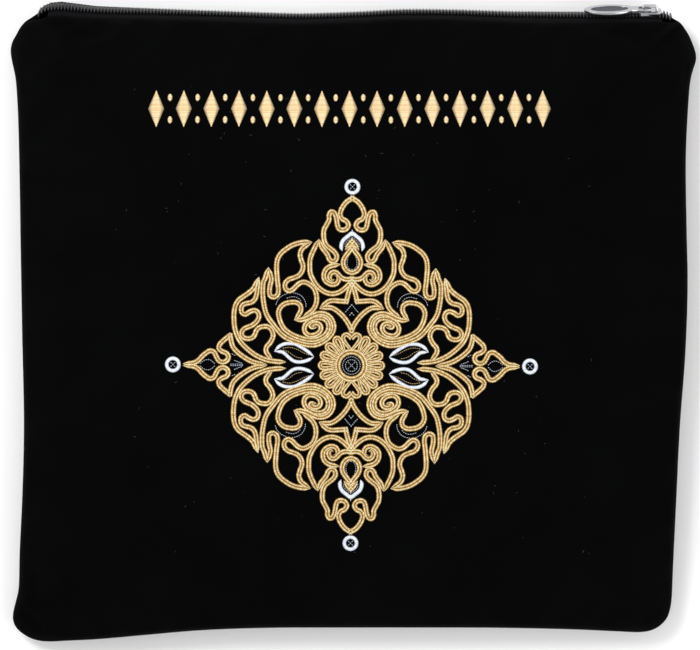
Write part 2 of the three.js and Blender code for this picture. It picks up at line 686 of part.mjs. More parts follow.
// One tape: flat under the coil, where the two part round the slider's post, and tucked in under the velvet.
function tape(side) {
  const open = half(SLIDER_POST) + CLEARANCE;
  const partFrom = postStart - TAPE_PARTING;
  const partTo = postStart - CLEARANCE;
  const t = half(TAPE_THICKNESS);
  const rings = stations(zipEnds[0] + TAPE_SHY, zipEnds[1] - TAPE_SHY, [partFrom, partTo]).map((x) => {
    const parting = THREE.MathUtils.clamp((x - partFrom) / (partTo - partFrom), 0, 1);
    const inner = side * mix(half(TAPE_SPLIT), open, parting);
    const edge = tapeEdge(x, side);
    const beside = (y, z) => edge.clone().add(new THREE.Vector3(0, y, z));
    const tucked = -TAPE_TUCK;
    return [
      zipPoint(x, inner, -t),
      beside(-t, -side * t),
      beside(tucked, -side * t),
      beside(tucked, side * t),
      beside(t, side * t * 0.5),
      zipPoint(x, inner, t),
    ];
  });
  return loft(rings);
}

function coilBetween(from, to, inner, outer) {
  const chamfer = 0.5;
  const rings = stations(from, to).map((x) => [
    zipPoint(x, inner, coilBase),
    zipPoint(x, inner, coilTop - chamfer),
    zipPoint(x, inner + chamfer, coilTop),
    zipPoint(x, outer - chamfer, coilTop),
    zipPoint(x, outer, coilTop - chamfer),
    zipPoint(x, outer, coilBase),
  ]);
  return loft(rings);
}

// The slider: two plates joined by a post, lips down its sides, and a crown that holds the pull.

function block(x0, x1, w0, w1, n0, n1) {
  const box = new THREE.BoxGeometry(x1 - x0, w1 - w0, n1 - n0);
  return solidOf(box.translate(half(x0 + x1), half(w0 + w1), half(n0 + n1)));
}

const plateTop = coilTop + CLEARANCE + SLIDER_PLATE;
const barDiagonal = Math.hypot(half(PULL_BAR), half(PULL_THICKNESS));
const pivotOut = plateTop + barDiagonal + 0.2;
const crownUnder = pivotOut + barDiagonal + 0.2;

function plate(bottom) {
  const rear = half(SLIDER_WIDTH) - 0.6;
  const front = half(SLIDER_WIDTH);
  const reach = half(SLIDER_LENGTH);
  const shape = new THREE.Shape([
    new THREE.Vector2(-reach, -rear + 1), new THREE.Vector2(-reach + 1, -rear), new THREE.Vector2(0.5, -rear),
    new THREE.Vector2(2, -front), new THREE.Vector2(reach - 1.5, -front),
    new THREE.Vector2(reach, -front + 1.8),
    new THREE.Vector2(reach, front - 1.8), new THREE.Vector2(reach - 1.5, front), new THREE.Vector2(2, front),
    new THREE.Vector2(0.5, rear), new THREE.Vector2(-reach + 1, rear), new THREE.Vector2(-reach, rear - 1),
  ]);
  const geometry = new THREE.ExtrudeGeometry(shape, { depth: SLIDER_PLATE, bevelEnabled: false });
  return solidOf(geometry.translate(0, 0, bottom));
}

function sliderBody() {
  const floor = -half(TAPE_THICKNESS) - CLEARANCE;
  const ceiling = coilTop + CLEARANCE;
  const reach = half(SLIDER_LENGTH);
  const lipOut = half(SLIDER_WIDTH) - 0.6;
  const lipIn = half(COIL_WIDTH) + CLEARANCE;
  const lipFloor = half(TAPE_THICKNESS) + CLEARANCE;
  const rise = half(CROWN_WIDTH);
  const arch = new THREE.Shape([
    new THREE.Vector2(-half(CROWN_LENGTH), plateTop - half(SLIDER_PLATE)),
    new THREE.Vector2(-half(CROWN_LENGTH), crownUnder - 0.4),
    new THREE.Vector2(-half(CROWN_LENGTH) + 1.2, crownUnder + CROWN_THICKNESS),
    new THREE.Vector2(half(CROWN_LENGTH) - 1.2, crownUnder + CROWN_THICKNESS),
    new THREE.Vector2(half(CROWN_LENGTH), crownUnder - 0.4),
    new THREE.Vector2(half(CROWN_LENGTH), plateTop - half(SLIDER_PLATE)),
  ]);
  const crown = solidOf(
    new THREE.ExtrudeGeometry(arch, { depth: CROWN_WIDTH, bevelEnabled: false })
      .rotateX(half(Math.PI))
      .translate(0, rise, 0),
  );
  const windowReach = half(CROWN_LENGTH) - 1.2;
  const window = block(-windowReach, windowReach, -CROWN_WIDTH, CROWN_WIDTH, plateTop, crownUnder);
  const body = wasm.Manifold.union([
    plate(ceiling),
    plate(floor - SLIDER_PLATE),
    block(1.6, reach - 0.6, -half(SLIDER_POST), half(SLIDER_POST), floor - 0.4, ceiling + 0.4),
    block(-reach + 1, reach - 2, lipIn, Math.max(lipOut, lipIn + 0.6), lipFloor, ceiling + 0.4),
    block(-reach + 1, reach - 2, -Math.max(lipOut, lipIn + 0.6), -lipIn, lipFloor, ceiling + 0.4),
    crown.subtract(window),
  ]);
  return geometryOf(body);
}

// The pull lies towards -X from its pivot: a loop round the crown, and an oval plate with a sunk face.
function pull() {
  const barIn = half(CROWN_WIDTH) + CLEARANCE;
  const barOut = barIn + PULL_BAR;
  const ovalFar = PULL_LOOP + 2 + PULL_OVAL_LENGTH;
  const ovalMiddle = ovalFar - half(PULL_OVAL_LENGTH);
  const outline = new THREE.Shape();
  outline.moveTo(half(PULL_BAR), -barOut);
  outline.lineTo(half(PULL_BAR), barOut);
  outline.lineTo(-PULL_LOOP, barOut);
  outline.absellipse(-ovalMiddle, 0, half(PULL_OVAL_LENGTH), half(PULL_OVAL_WIDTH), rad(28),
    rad(332), false, 0);
  outline.lineTo(-PULL_LOOP, -barOut);
  const hole = new THREE.Path();
  hole.moveTo(-half(PULL_BAR), -barIn);
  hole.lineTo(-half(PULL_BAR), barIn);
  hole.lineTo(-PULL_LOOP, barIn);
  hole.lineTo(-PULL_LOOP, -barIn);
  outline.holes.push(hole);
  const flat = new THREE.ExtrudeGeometry(outline, { depth: PULL_THICKNESS, bevelEnabled: false,
    curveSegments: 20 });
  const recess = new THREE.Shape();
  recess.absellipse(
    -ovalMiddle, 0, half(PULL_OVAL_LENGTH) - PULL_RIM * 1.6, half(PULL_OVAL_WIDTH) - PULL_RIM,
    0, 2 * Math.PI, false, 0,
  );
  const sunk = new THREE.ExtrudeGeometry(recess, { depth: 2 * PULL_RECESS, bevelEnabled: false,
    curveSegments: 16 });
  const middle = solidOf(flat.translate(0, 0, -half(PULL_THICKNESS)));
  const above = solidOf(sunk.clone().translate(0, 0, half(PULL_THICKNESS) - PULL_RECESS));
  const below = solidOf(sunk.clone().translate(0, 0, -half(PULL_THICKNESS) - PULL_RECESS));
  return geometryOf(middle.subtract(above).subtract(below));
}

// The slider's own frame: X along the zip, Y across it, Z out of its face.
function sliderGroup() {
  const at = zipAt(sliderPlace);
  const along = zipAt(sliderEnd).place.sub(zipAt(sliderStart).place).normalize();
  const across = new THREE.Vector3().crossVectors(at.out, along).normalize();
  const group = new THREE.Group();
  group.matrixAutoUpdate = false;
  group.matrix.makeBasis(along, across, along.clone().cross(across)).setPosition(at.place);
  const hanging = named("zip_pull", pull(), "metal");
  hanging.position.set(0, 0, pivotOut);
  hanging.rotation.y = rad(-PULL_DROOP);
  group.add(named("zip_slider", sliderBody(), "metal"), hanging);
  return group;
}

const coilReach = half(COIL_WIDTH);
const bag = new THREE.Group();
bag.name = "tallit_bag";
bag.add(
  named("front_panel", panel(1), "velvet"),
  named("back_panel", panel(-1), "velvet"),
  named("zip_tape_front", tape(1), "tape"),
  named("zip_tape_back", tape(-1), "tape"),
  named("zip_coil", coilBetween(zipEnds[0], postStart - CLEARANCE, -coilReach, coilReach), "coil"),
  named("coil_end_front", coilBetween(sliderEnd + CLEARANCE, zipEnds[1], 1.5, coilReach + 1), "coil"),
  named("coil_end_back", coilBetween(sliderEnd + CLEARANCE, zipEnds[1], -coilReach - 1, -1.5), "coil"),
  sliderGroup(),
  ...medallionBraid(),
  named("rosette_braid", rosette(), "gold"),
  ...satinLeaves(),
  ...crescents(),
  ...compassRings(),
  ...borderLozenges(),
);

// The origin is under the middle of the bag's outline.
const middle = new THREE.Box3().setFromObject(bag).getCenter(new THREE.Vector3());
bag.position.set(-middle.x, -middle.y, 0);

export default bag;
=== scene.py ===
import json
import math

import bmesh
import bpy
import numpy as np
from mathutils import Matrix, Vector
from mathutils.bvhtree import BVHTree


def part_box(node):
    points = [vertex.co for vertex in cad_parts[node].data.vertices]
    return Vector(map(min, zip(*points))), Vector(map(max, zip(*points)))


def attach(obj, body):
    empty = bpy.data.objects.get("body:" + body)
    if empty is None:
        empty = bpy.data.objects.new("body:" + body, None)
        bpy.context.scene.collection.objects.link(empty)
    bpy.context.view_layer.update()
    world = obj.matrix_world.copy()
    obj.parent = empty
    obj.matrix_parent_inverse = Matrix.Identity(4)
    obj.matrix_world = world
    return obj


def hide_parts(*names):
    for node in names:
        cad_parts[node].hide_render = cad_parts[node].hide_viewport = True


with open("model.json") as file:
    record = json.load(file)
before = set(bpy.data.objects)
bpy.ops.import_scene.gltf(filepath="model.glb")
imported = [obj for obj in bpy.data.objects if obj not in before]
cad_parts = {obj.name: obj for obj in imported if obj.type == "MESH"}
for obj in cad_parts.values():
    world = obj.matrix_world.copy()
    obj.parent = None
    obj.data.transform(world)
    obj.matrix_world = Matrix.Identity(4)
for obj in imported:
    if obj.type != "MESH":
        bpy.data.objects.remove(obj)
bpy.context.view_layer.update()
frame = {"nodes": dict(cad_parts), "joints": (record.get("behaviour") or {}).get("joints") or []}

MM = 0.001
chance = np.random.default_rng(18)

# The pouch. Sizes are in metres; a share or a power is a bare number.
BAG_WIDTH = 352 * MM
BAG_HEIGHT = 328 * MM
BAG_DEPTH = 46 * MM
SEAM_LIFT = 17 * MM
CORNER_LIFT = 9 * MM
SEAM_GAP = 0.3 * MM
REST_SHARE = 0.64
CONTOUR_POWER = 4
FRONT_FULLNESS = 0.62
BACK_FULLNESS = 0.6
RIM_EVENING = 22 * MM
EDGE_CROWDING = 0.36
LIP = 2.2 * MM
LIP_ROLL = [(0.12, 0.2), (0.3, 0.25), (0.58, 0.1)]  # shares of the lip, inwards and down

# Puckers at the seam: their height, each wave's share of it, and each wave's length in mm and its phase
PUCKER = 0.9 * MM
WAVE_SHARE = 0.35
PUCKER_WAVES = [(13, 0.4), (19, 2.1), (31, 4.0), (53, 1.2)]
PUCKER_START = 0.8  # shares of the way out to the seam, for all three
PUCKER_GROWTH = 0.15
PUCKER_END = 0.03

# The velvet as cloth, held at the seam and, at the back, over the flat middle and a little beyond it
HELD_SHARE = 0.985
HELD_BEYOND = 0.05
CLOTH_FRAMES = 20
CLOTH_CAP = 5 * MM
CLOTH_PRESSURE = 4
BACK_PRESSURE_SHARE = 0.3
CLOTH_GROWTH = 0.012

# The zip and its pull
COIL_WIDTH = 6.0 * MM
COIL_PITCH = 1.75 * MM
COIL_WIRE = 0.5 * MM
COIL_FLATNESS = 0.82
COIL_SIDES = 6
COIL_SKEW = 0.12 * MM
COIL_PARTING = 1.1 * MM
PARTED_FROM_SLIDER = 5 * MM
TAPE_THICKNESS = 0.8 * MM
VELVET_LIFT = 0.6 * MM
TAPE_SHOWN_FRONT = 4.2 * MM
TAPE_SHOWN_BACK = 2.8 * MM
TAPE_SHOWN_ENDS = 0.07
ZIP_LIFT = 17 * MM
ZIP_CORNER_DROP = 6 * MM
ZIP_CORNER_POWER = 24
SLIDER_FROM_END = 12.3 * MM
PULL_LENGTH = 27 * MM
PULL_WIDTH = 12 * MM
PULL_THICKNESS = 1.2 * MM
PULL_RIM = 2.2 * MM
INLAY_SINK = 0.22 * MM
INLAY_CROWN = 0.04 * MM
INLAY_GAP = 0.55 * MM
INLAY_FIT = 0.995
CAST_WELD = 0.01 * MM

# One turn of the coil, in mm across the zip's face and out of it
COIL_PATH = [(3.0, 0.85), (3.0, 1.45), (2.35, 1.82), (0.6, 1.84), (-1.1, 1.7), (-1.5, 1.3)]

# The embroidery. The drops say how far under the bag's middle the medallion lies, here and in the solids.
EMBROIDERY_REACH = 130 * MM
HEIGHT_STEP = 1.5 * MM
MEDALLION_REACH = 93.4 * MM
MEDALLION_DROP = 22.5 * MM
FRAME_MEDALLION_DROP = 23.3 * MM
MEDALLION_ASIDE = 1.0 * MM
MEDALLION_LEAN = math.radians(0.32)
CHART_REACH = 178
BRAID_WIDTH = 2.92 * MM
BRAID_HEIGHT = 1.15 * MM
PLAIT_PITCH = 1.15 * MM
PLAIT_RISE = 0.26
PLAIT_LAG = 0.9
EDGE_TEETH = 0.1
TEETH_RATE = 1.3
TIP_LENGTH = 3.2 * MM
TIP_SHARE = 0.06
BLUNT_SHARE = 0.3
RING_BRAID_WIDTH = BRAID_WIDTH * 1.15
RING_BRAID_HEIGHT = BRAID_HEIGHT * 1.1
SATIN_WIDTH = 2.0 * MM
SATIN_HEIGHT = 1.0 * MM
SATIN_STEP = 0.4 * MM
LEAF_TIP = 3 * MM
CRESCENT_WIDTH = SATIN_WIDTH * 1.12
CRESCENT_TIP = 2 * MM
SPIKE_WIDTH = SATIN_WIDTH * 0.8
SPIKE_HEIGHT = SATIN_HEIGHT * 0.9
SPIKE_TIP = 2.6 * MM
SPIKE_STEP = 0.3 * MM
RING_RADIUS = 3.2 * MM
RING_BAND = 2.1 * MM
STITCH_STEP = 0.5 * MM
DASH_LENGTH = 0.98 * MM
DASH_PITCH = 1.15 * MM
DASH_WIDTH = 0.45 * MM
DASH_HEIGHT = 0.45 * MM
DASH_SHAPE = np.array([0.4, 0.9, 1, 0.9, 0.4])
SIDE_PETALS = 7
PETAL_TURN = math.radians(20)
BORDER_RISE = 112 * MM
BORDER_LENGTH = 217 * MM
BORDER_ASIDE = 2 * MM
LOZENGES = 15
LOZENGE_HEIGHT = 19 * MM
LOZENGE_WIDTH = 8.4 * MM
OVAL_RISE = 0.62
OVAL_REACH = 1.9 * MM
OVAL_WIDTH = 2.6 * MM
OVAL_HEIGHT = 0.9 * MM

# Lint on the pile
LINT_FIBRES = 110
LINT_REACH = 125 * MM
LINT_SECTION = [(-0.5, 0.2), (0, 1), (0.5, 0.2)]
LINT_WIDTH = 0.09 * MM
LINT_HEIGHT = 0.3 * MM
LINT_LENGTHS = (0.4 * MM, 1.7 * MM)
LINT_BEND = 0.6

# The photograph's frame, the camera, the floor and the light
PHOTO_WIDTH = 700
MM_PER_PIXEL = 0.53
BAG_MIDDLE_PIXEL = (353.3, 322.5)
PHOTO_MIDDLE_PIXEL = (350, 325)
CAMERA_HEIGHT = 2.4
SENSOR_WIDTH = 36
FLOOR_REACH = 4.0
FLOOR_DROP = 0.4 * MM
SKY_LIGHT = 0.8

# The zip from left to right: shares of half the width and height, and its lean to the front in degrees
ZIP_LINE = [
    (-0.952, 0.99, 36), (-0.938, 1.004, 36), (-0.915, 1.013, 36), (-0.88, 1.016, 36), (-0.775, 1.005, 30),
    (-0.6, 0.999, 25), (-0.37, 0.991, 22), (-0.16, 0.984, 22), (0.0, 0.989, 22), (0.15, 0.997, 22),
    (0.3, 0.996, 22), (0.48, 0.99, 24), (0.7, 0.988, 26), (0.83, 0.989, 26), (0.93, 0.989, 26),
    (0.944, 0.986, 26), (0.962, 0.979, 26),
]

# The seam, clockwise from the zip's right end to its left: shares of half the width and height
SEAM_LINE = [
    (0.988, 0.972), (0.999, 0.956), (1.012, 0.934), (1.024, 0.905), (1.034, 0.872), (1.036, 0.85),
    (1.026, 0.822), (1.017, 0.785), (1.009, 0.69), (1.002, 0.53), (1.004, 0.3), (1.007, 0.12),
    (1.0, -0.1), (0.984, -0.33), (0.973, -0.58), (0.964, -0.8), (0.961, -0.89), (0.957, -0.925),
    (0.947, -0.957), (0.925, -0.983), (0.898, -0.998), (0.862, -1.003), (0.8, -1.0), (0.67, -0.993),
    (0.44, -0.987), (0.2, -0.986), (-0.03, -0.986), (-0.26, -0.987), (-0.46, -0.995), (-0.62, -1.01),
    (-0.77, -1.025), (-0.87, -1.031), (-0.92, -1.034), (-0.96, -1.029), (-0.993, -1.013),
    (-1.02, -0.987), (-1.029, -0.957), (-1.022, -0.915), (-1.011, -0.87), (-1.006, -0.74), (-0.997, -0.55),
    (-0.992, -0.33), (-0.997, -0.05), (-1.002, 0.25), (-1.006, 0.5), (-1.012, 0.7), (-1.02, 0.8),
    (-1.031, 0.85), (-1.035, 0.882), (-1.03, 0.909), (-1.018, 0.932), (-1.008, 0.953), (-0.992, 0.975),
]

# The upper left quarter of the medallion's braid, in squares of the embroiderer's chart out from its middle.
# Each stroke is one or more smooth runs that meet in sharp points.
BRAID_CHART = {
    "point": [
        [[(168.1, 0.9), (157.9, 1.5), (152.9, 3.9), (148.5, 8.6), (144.6, 11.8), (140.9, 13.8),
          (136.9, 12.5), (134.4, 7.8), (132, 4.1), (127.9, 2.6), (123.9, 4.5), (122.6, 7.9),
          (124.3, 11.3), (128.9, 13.4), (132, 16.2), (131.4, 20), (127.9, 23.8), (120.9, 29.6)],
         [(120.9, 29.6), (119.9, 23.9), (117.9, 17.8), (113.4, 12.6), (106.9, 7.7), (100.4, 4),
          (93.4, 1.7), (83.9, 0.3)]],
    ],
    "spray": [
        [[(65.1, 3), (76.4, 3.7), (84.9, 5.2), (92.4, 8.2), (98.6, 11.9), (108.3, 20.4), (112.8, 26.7),
          (116.2, 36.2), (117.2, 45.2), (117.1, 52.2), (115.6, 59.6), (112.1, 65), (107.9, 68.1),
          (102.4, 72), (97.8, 76.5), (92.5, 87.7)],
         [(92.5, 87.7), (94.1, 76.4), (94.9, 69.9), (96.8, 65.1), (100.3, 62.3), (105.5, 61.1),
          (108.7, 59.4), (110, 55.9), (109.2, 52), (105.9, 50.4), (101.7, 52.9), (97.3, 54.3),
          (93.7, 52.7), (92.4, 48.4), (93.9, 44.2), (99, 39.5), (103, 37.8), (106.9, 36), (109.3, 32.8),
          (109.1, 29.3), (106.5, 26.8), (102.5, 26.2), (98.5, 27.5), (96.4, 30.2), (94.9, 34.2),
          (92, 37.2), (87.6, 38.4), (83.2, 38.1), (79.9, 35.3), (78.1, 30.2), (78.9, 26.3), (81.5, 21.7),
          (84.4, 18.3), (85.1, 14), (82.6, 9.6), (78.1, 4.9)]],
    ],
    "scroll": [
        [[(49.5, 47.4), (43.4, 51.1), (38.8, 55.1), (35.8, 60.4), (34.9, 66), (35.6, 71.6), (38.1, 77.2),
          (43.2, 81.3), (47.8, 82.8), (51.8, 81.7), (55.2, 79), (58.8, 75.4), (62.3, 73.9), (65.5, 75.5),
          (66.7, 78.9), (65.7, 82.5), (62.5, 85.4), (57.6, 87.1), (52.9, 89.4), (49.5, 94), (48.7, 99.3),
          (50.6, 104.9), (51.7, 110.3), (49.9, 115.6), (45.6, 119.4), (39.7, 122.8)],
         [(39.7, 122.8), (45.1, 122.7), (52.5, 121.7), (59.1, 119.6), (65.4, 115.8), (70.6, 111.4),
          (73.8, 106.2), (75, 99.8), (74.3, 85.8), (73.1, 73.7), (74.3, 69.6), (77.8, 67.7),
          (81.2, 69.2), (82, 72.9), (81.6, 78.2), (80.2, 85.2), (81.5, 91.2), (83.4, 97.4)],
         [(83.4, 97.4), (86.2, 86.7), (88.2, 81.9), (88.7, 73.2), (88.1, 64.7), (85.7, 52.9), (82.9, 47),
          (79.1, 41.9), (75, 36.5), (70.2, 31.1), (64.9, 27.2), (58.9, 24.5), (51.9, 22.2), (44.5, 20.4),
          (36.7, 20.2), (29.6, 22.7), (23.3, 27.2), (19, 32.8), (17.7, 38.8), (19.3, 44.8), (23, 49.3),
          (27.9, 51.5), (32.9, 51.7), (38.3, 49.8), (44.7, 46.8), (50.7, 45.2), (57.3, 44.9)],
         [(57.3, 44.9), (53.3, 49.5), (50.6, 55.2), (51.6, 60), (55.7, 62.5), (61.1, 62.5), (66.6, 61.1),
          (70.8, 57.7), (72.9, 52.7), (72.3, 47.4), (70.5, 41.9), (67.3, 36.5), (62.7, 32.6),
          (57.4, 29.6), (51.2, 27.3), (44.6, 25.7), (37.2, 25.5), (30.2, 27.9), (25, 32.1), (22.9, 37.8),
          (24.1, 43.2), (28.1, 46.5), (33.7, 47.2), (39.5, 45.6), (44.6, 42.2), (47, 37.4), (46.1, 32.7),
          (42.3, 29.9), (37.3, 30.1), (32.9, 32.4), (30.6, 36.3), (31.5, 40.1), (34.9, 42), (38.9, 41.1),
          (40.6, 38.9), (38, 37.6), (34.1, 38.2)]],
    ],
    "heart": [
        [[(-0.5, 84.8), (3.4, 80.4), (7.8, 76.2), (13, 72.8), (19.1, 71.3), (25.3, 72.4), (31.2, 75.8),
          (35.6, 80.3), (39.3, 86.4), (41.5, 92), (42, 98.5), (41.8, 105), (40, 111), (37.5, 116.4),
          (33, 125.7)],
         [(33, 125.7), (30, 117.6), (26.8, 113.4), (24.2, 109.7), (22.5, 105.6), (19.4, 103.4),
          (16.3, 104.9), (15.3, 108.8), (17.4, 112.7), (21.6, 116.2), (25.4, 119.4), (27.6, 123.7),
          (28.4, 130), (27.9, 135.2), (25.5, 140), (23.1, 145), (23, 149.6), (21.2, 152.8),
          (18.5, 152.4), (16.5, 149), (15.5, 144.9), (14.7, 140), (13, 136), (9.5, 134.8), (5.7, 136.2),
          (3.8, 139.9), (6, 143.8), (10, 146), (12, 149.8), (11.1, 154.7), (8.5, 159.5), (4.7, 163.7),
          (-0.9, 166.8)]],
        [[(-0.6, 118.2), (3.5, 112.7), (7.2, 107.6), (8.7, 103.2), (8.1, 98.9), (5.8, 95), (2.7, 93),
          (-0.6, 92.3)]],
        [[(7, 114.8), (3.3, 119.8), (-0.6, 124)]],
        [[(10.9, 100.7), (16.3, 99.9), (21.9, 98.5), (25.9, 95.5), (27.9, 90.5), (27.1, 85.2),
          (23.5, 81.8), (19.1, 80.5), (14.9, 82), (13.2, 85.7), (14.4, 88.8), (17.4, 89.6)]],
        [[(-0.6, 86.3), (5.5, 85.7), (9.7, 87), (12.6, 89.6), (15.2, 92.3), (18.7, 92.9), (21.5, 90.6),
          (22.2, 87), (19.9, 84.5), (17.4, 86)]],
        [[(-0.6, 81.7), (2.5, 74.9), (4.2, 68.8), (5.2, 63.7)],
         [(5.2, 63.7), (11.9, 64.1), (18.9, 64.5), (23.1, 63.6), (26.7, 61), (32.2, 56.3)],
         [(32.2, 56.3), (25.9, 57.6), (19.7, 57.2), (12.6, 52.8), (6.5, 46.4), (2.3, 40),
          (-0.3, 33.9)]],
    ],
}

# The rosette in chart squares: its ring, half a petal (outwards, aside), half a heart, its dotted rings, its
# cross, and how far out a petal's braid has which share of its width
RING_CHART = 13.7
PETAL_CHART = [(15.5, 0.9), (21, 2), (26.8, 2.9), (30, 2.2), (31.2, 0)]
ROSETTE_HEART_CHART = [(0.4, 15.6), (3.2, 18.8), (6, 22.2), (8.3, 26.2), (7.8, 29.4), (4.6, 30.8), (0, 27)]
ROSETTE_DOTS_CHART = (8.8, 5.9)
CROSS_CHART = 5.2
PETAL_NARROWING = [(15, 0.6), (27, 0.92)]

# White satin outlines, and rows of silver and gold running stitches, of the same quarter
LEAF_CHART = [
    [(76.9, 13.7), (72, 18.6), (66.9, 21.1), (61.9, 21.6), (56.3, 21.1), (51.2, 18.6), (45.6, 15.2),
     (41.1, 11.8), (37.4, 8.5)],
    [(37.4, 8.5), (41.7, 5.9), (46.7, 4), (52.3, 3.2), (57.4, 4.2), (61.9, 7.3), (65.2, 10.4),
     (68.6, 12.9), (72.5, 13.5), (76.9, 13.7)],
]
CRESCENT_CHART = [(9.6, 113.8), (10.8, 117.6), (10.4, 121.4), (8.6, 124.9), (4.1, 128.8), (0, 131.6)]
SPIKE_CHART = [(0, 129), (0, 135.5)]
RING_CROSS_CHART = 2.6
SILVER_CHART = [
    [(75.7, 59.6), (74, 64.2), (70.5, 68.2), (66.5, 70.5), (62, 72.1), (57.3, 71.9), (53.3, 70.8),
     (49.9, 68.8), (47.6, 65.9), (45.8, 61.9), (45.5, 57.9)],
    [(65.4, 66.5), (61.9, 67.6), (57.9, 68.2), (53.9, 67.1), (51.6, 65.3), (50.4, 63.6)],
    [(6.7, 52.7), (2.7, 57.3), (-0.4, 61.2)],
    [(2.5, 49.4), (-0.2, 53)],
    [(-0.6, 114.4), (3, 109.8), (4.6, 105), (4.9, 101.4), (4, 98), (2, 95.9), (-0.6, 95.3)],
    [(6.8, 117.4), (6.9, 121.2), (3.4, 125.2), (-0.6, 127.8)],
    [(151.2, 0.8), (148.3, 3.3), (144.5, 5), (141.2, 5), (138, 2.8), (136, 0.8)],
    [(121.2, 0.7), (114.5, 0.7), (107.8, 0.6)],
    [(117.1, 4.8), (113.2, 3.1), (108.9, 1.6)],
    [(119.6, 11.3), (115.4, 9.2)],
    [(0, 167), (0, 171.5)],
]
GOLD_CHART = [
    [(69, 16.7), (61.3, 17.8), (54.5, 15.9), (46.6, 11.9), (41.6, 10.2)],
    [(68.5, 15.3), (62.3, 13), (57.8, 9.7), (54.5, 8), (48.9, 6.9)],
]
QUARTERS = {"left_upper": (-1, 1), "right_upper": (1, 1), "right_lower": (1, -1), "left_lower": (-1, -1)}


# Lines

def between(t, start, end, first, last):
    """What lies between two points when t goes from start to end."""
    return ((end - t) * first + (t - start) * last) / (end - start)


def smooth(points, step, closed=False):
    """The points of a round line through the given ones, evenly spaced."""
    p = np.asarray(points, float)
    p = np.vstack([p[-1:], p, p[:2]]) if closed else np.vstack([2 * p[0] - p[1], p, 2 * p[-1] - p[-2]])
    gaps = np.maximum(np.linalg.norm(np.diff(p, axis=0), axis=1), 1e-9)
    knots = np.concatenate([[0], np.cumsum(gaps**0.5)])
    out = []
    for i in range(1, len(p) - 2):
        t = np.linspace(knots[i], knots[i + 1], 13)[:-1, None]
        k = knots[i - 1 : i + 3]
        a = [between(t, k[j], k[j + 1], p[i - 1 + j], p[i + j]) for j in range(3)]
        b = [between(t, k[j], k[j + 2], a[j], a[j + 1]) for j in range(2)]
        out.append(between(t, k[1], k[2], b[0], b[1]))
    out.append(p[-2][None])
    return spaced(np.vstack(out), step)


def spaced(line, step):
    """The same line with its points a step apart."""
    run = np.concatenate([[0], np.cumsum(np.linalg.norm(np.diff(line, axis=0), axis=1))])
    count = max(2, int(round(run[-1] / step)))
    at = np.linspace(0, run[-1], count + 1)
    return np.stack([np.interp(at, run, line[:, i]) for i in range(line.shape[1])], axis=1)


def on_circle(turns):
    """Points of a circle of radius 1 at the given turns."""
    return np.stack([np.cos(turns), np.sin(turns)], axis=1)


# Where things lie

low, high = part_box("rosette_braid")
bag_middle = np.array([(low.x + high.x) / 2, (low.y + high.y) / 2 + FRAME_MEDALLION_DROP])
half_width, half_height = BAG_WIDTH / 2, BAG_HEIGHT / 2
medallion_middle = bag_middle - [MEDALLION_ASIDE, MEDALLION_DROP]
square = MEDALLION_REACH / CHART_REACH


def chart(points, right=1, up=1):
    """Chart squares to metres on the bag, where the medallion leans a little to the right."""
    x, y = (np.asarray(points, float) * [right * square, up * square]).T
    lean_cos, lean_sin = math.cos(MEDALLION_LEAN), math.sin(MEDALLION_LEAN)
    return np.stack([x * lean_cos + y * lean_sin, y * lean_cos - x * lean_sin], axis=1) + medallion_middle


zip_rows = np.array([
    (x * half_width, y * half_height, ZIP_LIFT - ZIP_CORNER_DROP * abs(x) ** ZIP_CORNER_POWER,
     math.radians(lean), 1)
    for x, y, lean in ZIP_LINE
])
zip_rows[[0, -1], 4] = 0
# The lean and how full the tape shows weigh little in how the points are spaced
ZIP_WEIGHTS = [1, 1, 1, 0.01, 0.001]
zip_fine = smooth(zip_rows * ZIP_WEIGHTS, 1 * MM) / ZIP_WEIGHTS
zip_ends = zip_rows[0, 0], zip_rows[-1, 0]


def zip_point(x, across, out):
    """Points of the zip in metres: along it, across its face towards the front, and out of its face."""
    y, z, lean = (np.interp(x, zip_fine[:, 0], zip_fine[:, i]) for i in (1, 2, 3))
    return np.stack([
        np.broadcast_to(x + bag_middle[0], np.shape(y)),
        y - across * np.sin(lean) + out * np.cos(lean) + bag_middle[1],
        z + across * np.cos(lean) + out * np.sin(lean),
    ], axis=-1)


def rim_of(side):
    """A velvet panel's edge by its bearing from the bag's middle: reach, height and evened height."""
    shown = TAPE_SHOWN_FRONT if side > 0 else TAPE_SHOWN_BACK
    x, y, z, lean, full = zip_fine.T
    reach = side * (COIL_WIDTH / 2 + shown * np.clip(full, TAPE_SHOWN_ENDS, 1))
    lift = side * (TAPE_THICKNESS / 2 + VELVET_LIFT)
    along_zip = np.stack([x, y - reach * np.sin(lean), z + reach * np.cos(lean) + lift], axis=1)
    seam = smooth(np.array(SEAM_LINE) * [half_width, half_height], 1 * MM)
    corner = np.minimum(1, np.abs((seam[:, 0] / half_width) ** 3 * (seam[:, 1] / half_height) ** 3))
    seam_z = SEAM_LIFT + (CORNER_LIFT - SEAM_LIFT) * corner + side * SEAM_GAP / 2
    rim = np.vstack([along_zip, np.column_stack([seam, seam_z])])
    rim = spaced(np.vstack([rim, rim[:1]]), 1 * MM)[:-1]
    width = int(3 * RIM_EVENING / MM)
    weights = np.exp(-0.5 * (np.arange(-width, width + 1) * MM / RIM_EVENING) ** 2)
    padded = np.concatenate([rim[-width:, 2], rim[:, 2], rim[:width, 2]])
    even = np.convolve(padded, weights / weights.sum(), mode="valid")
    bearing = np.arctan2(rim[:, 1], rim[:, 0])
    order = np.argsort(bearing)
    return bearing[order], np.hypot(rim[:, 0], rim[:, 1])[order], rim[order, 2], even[order]


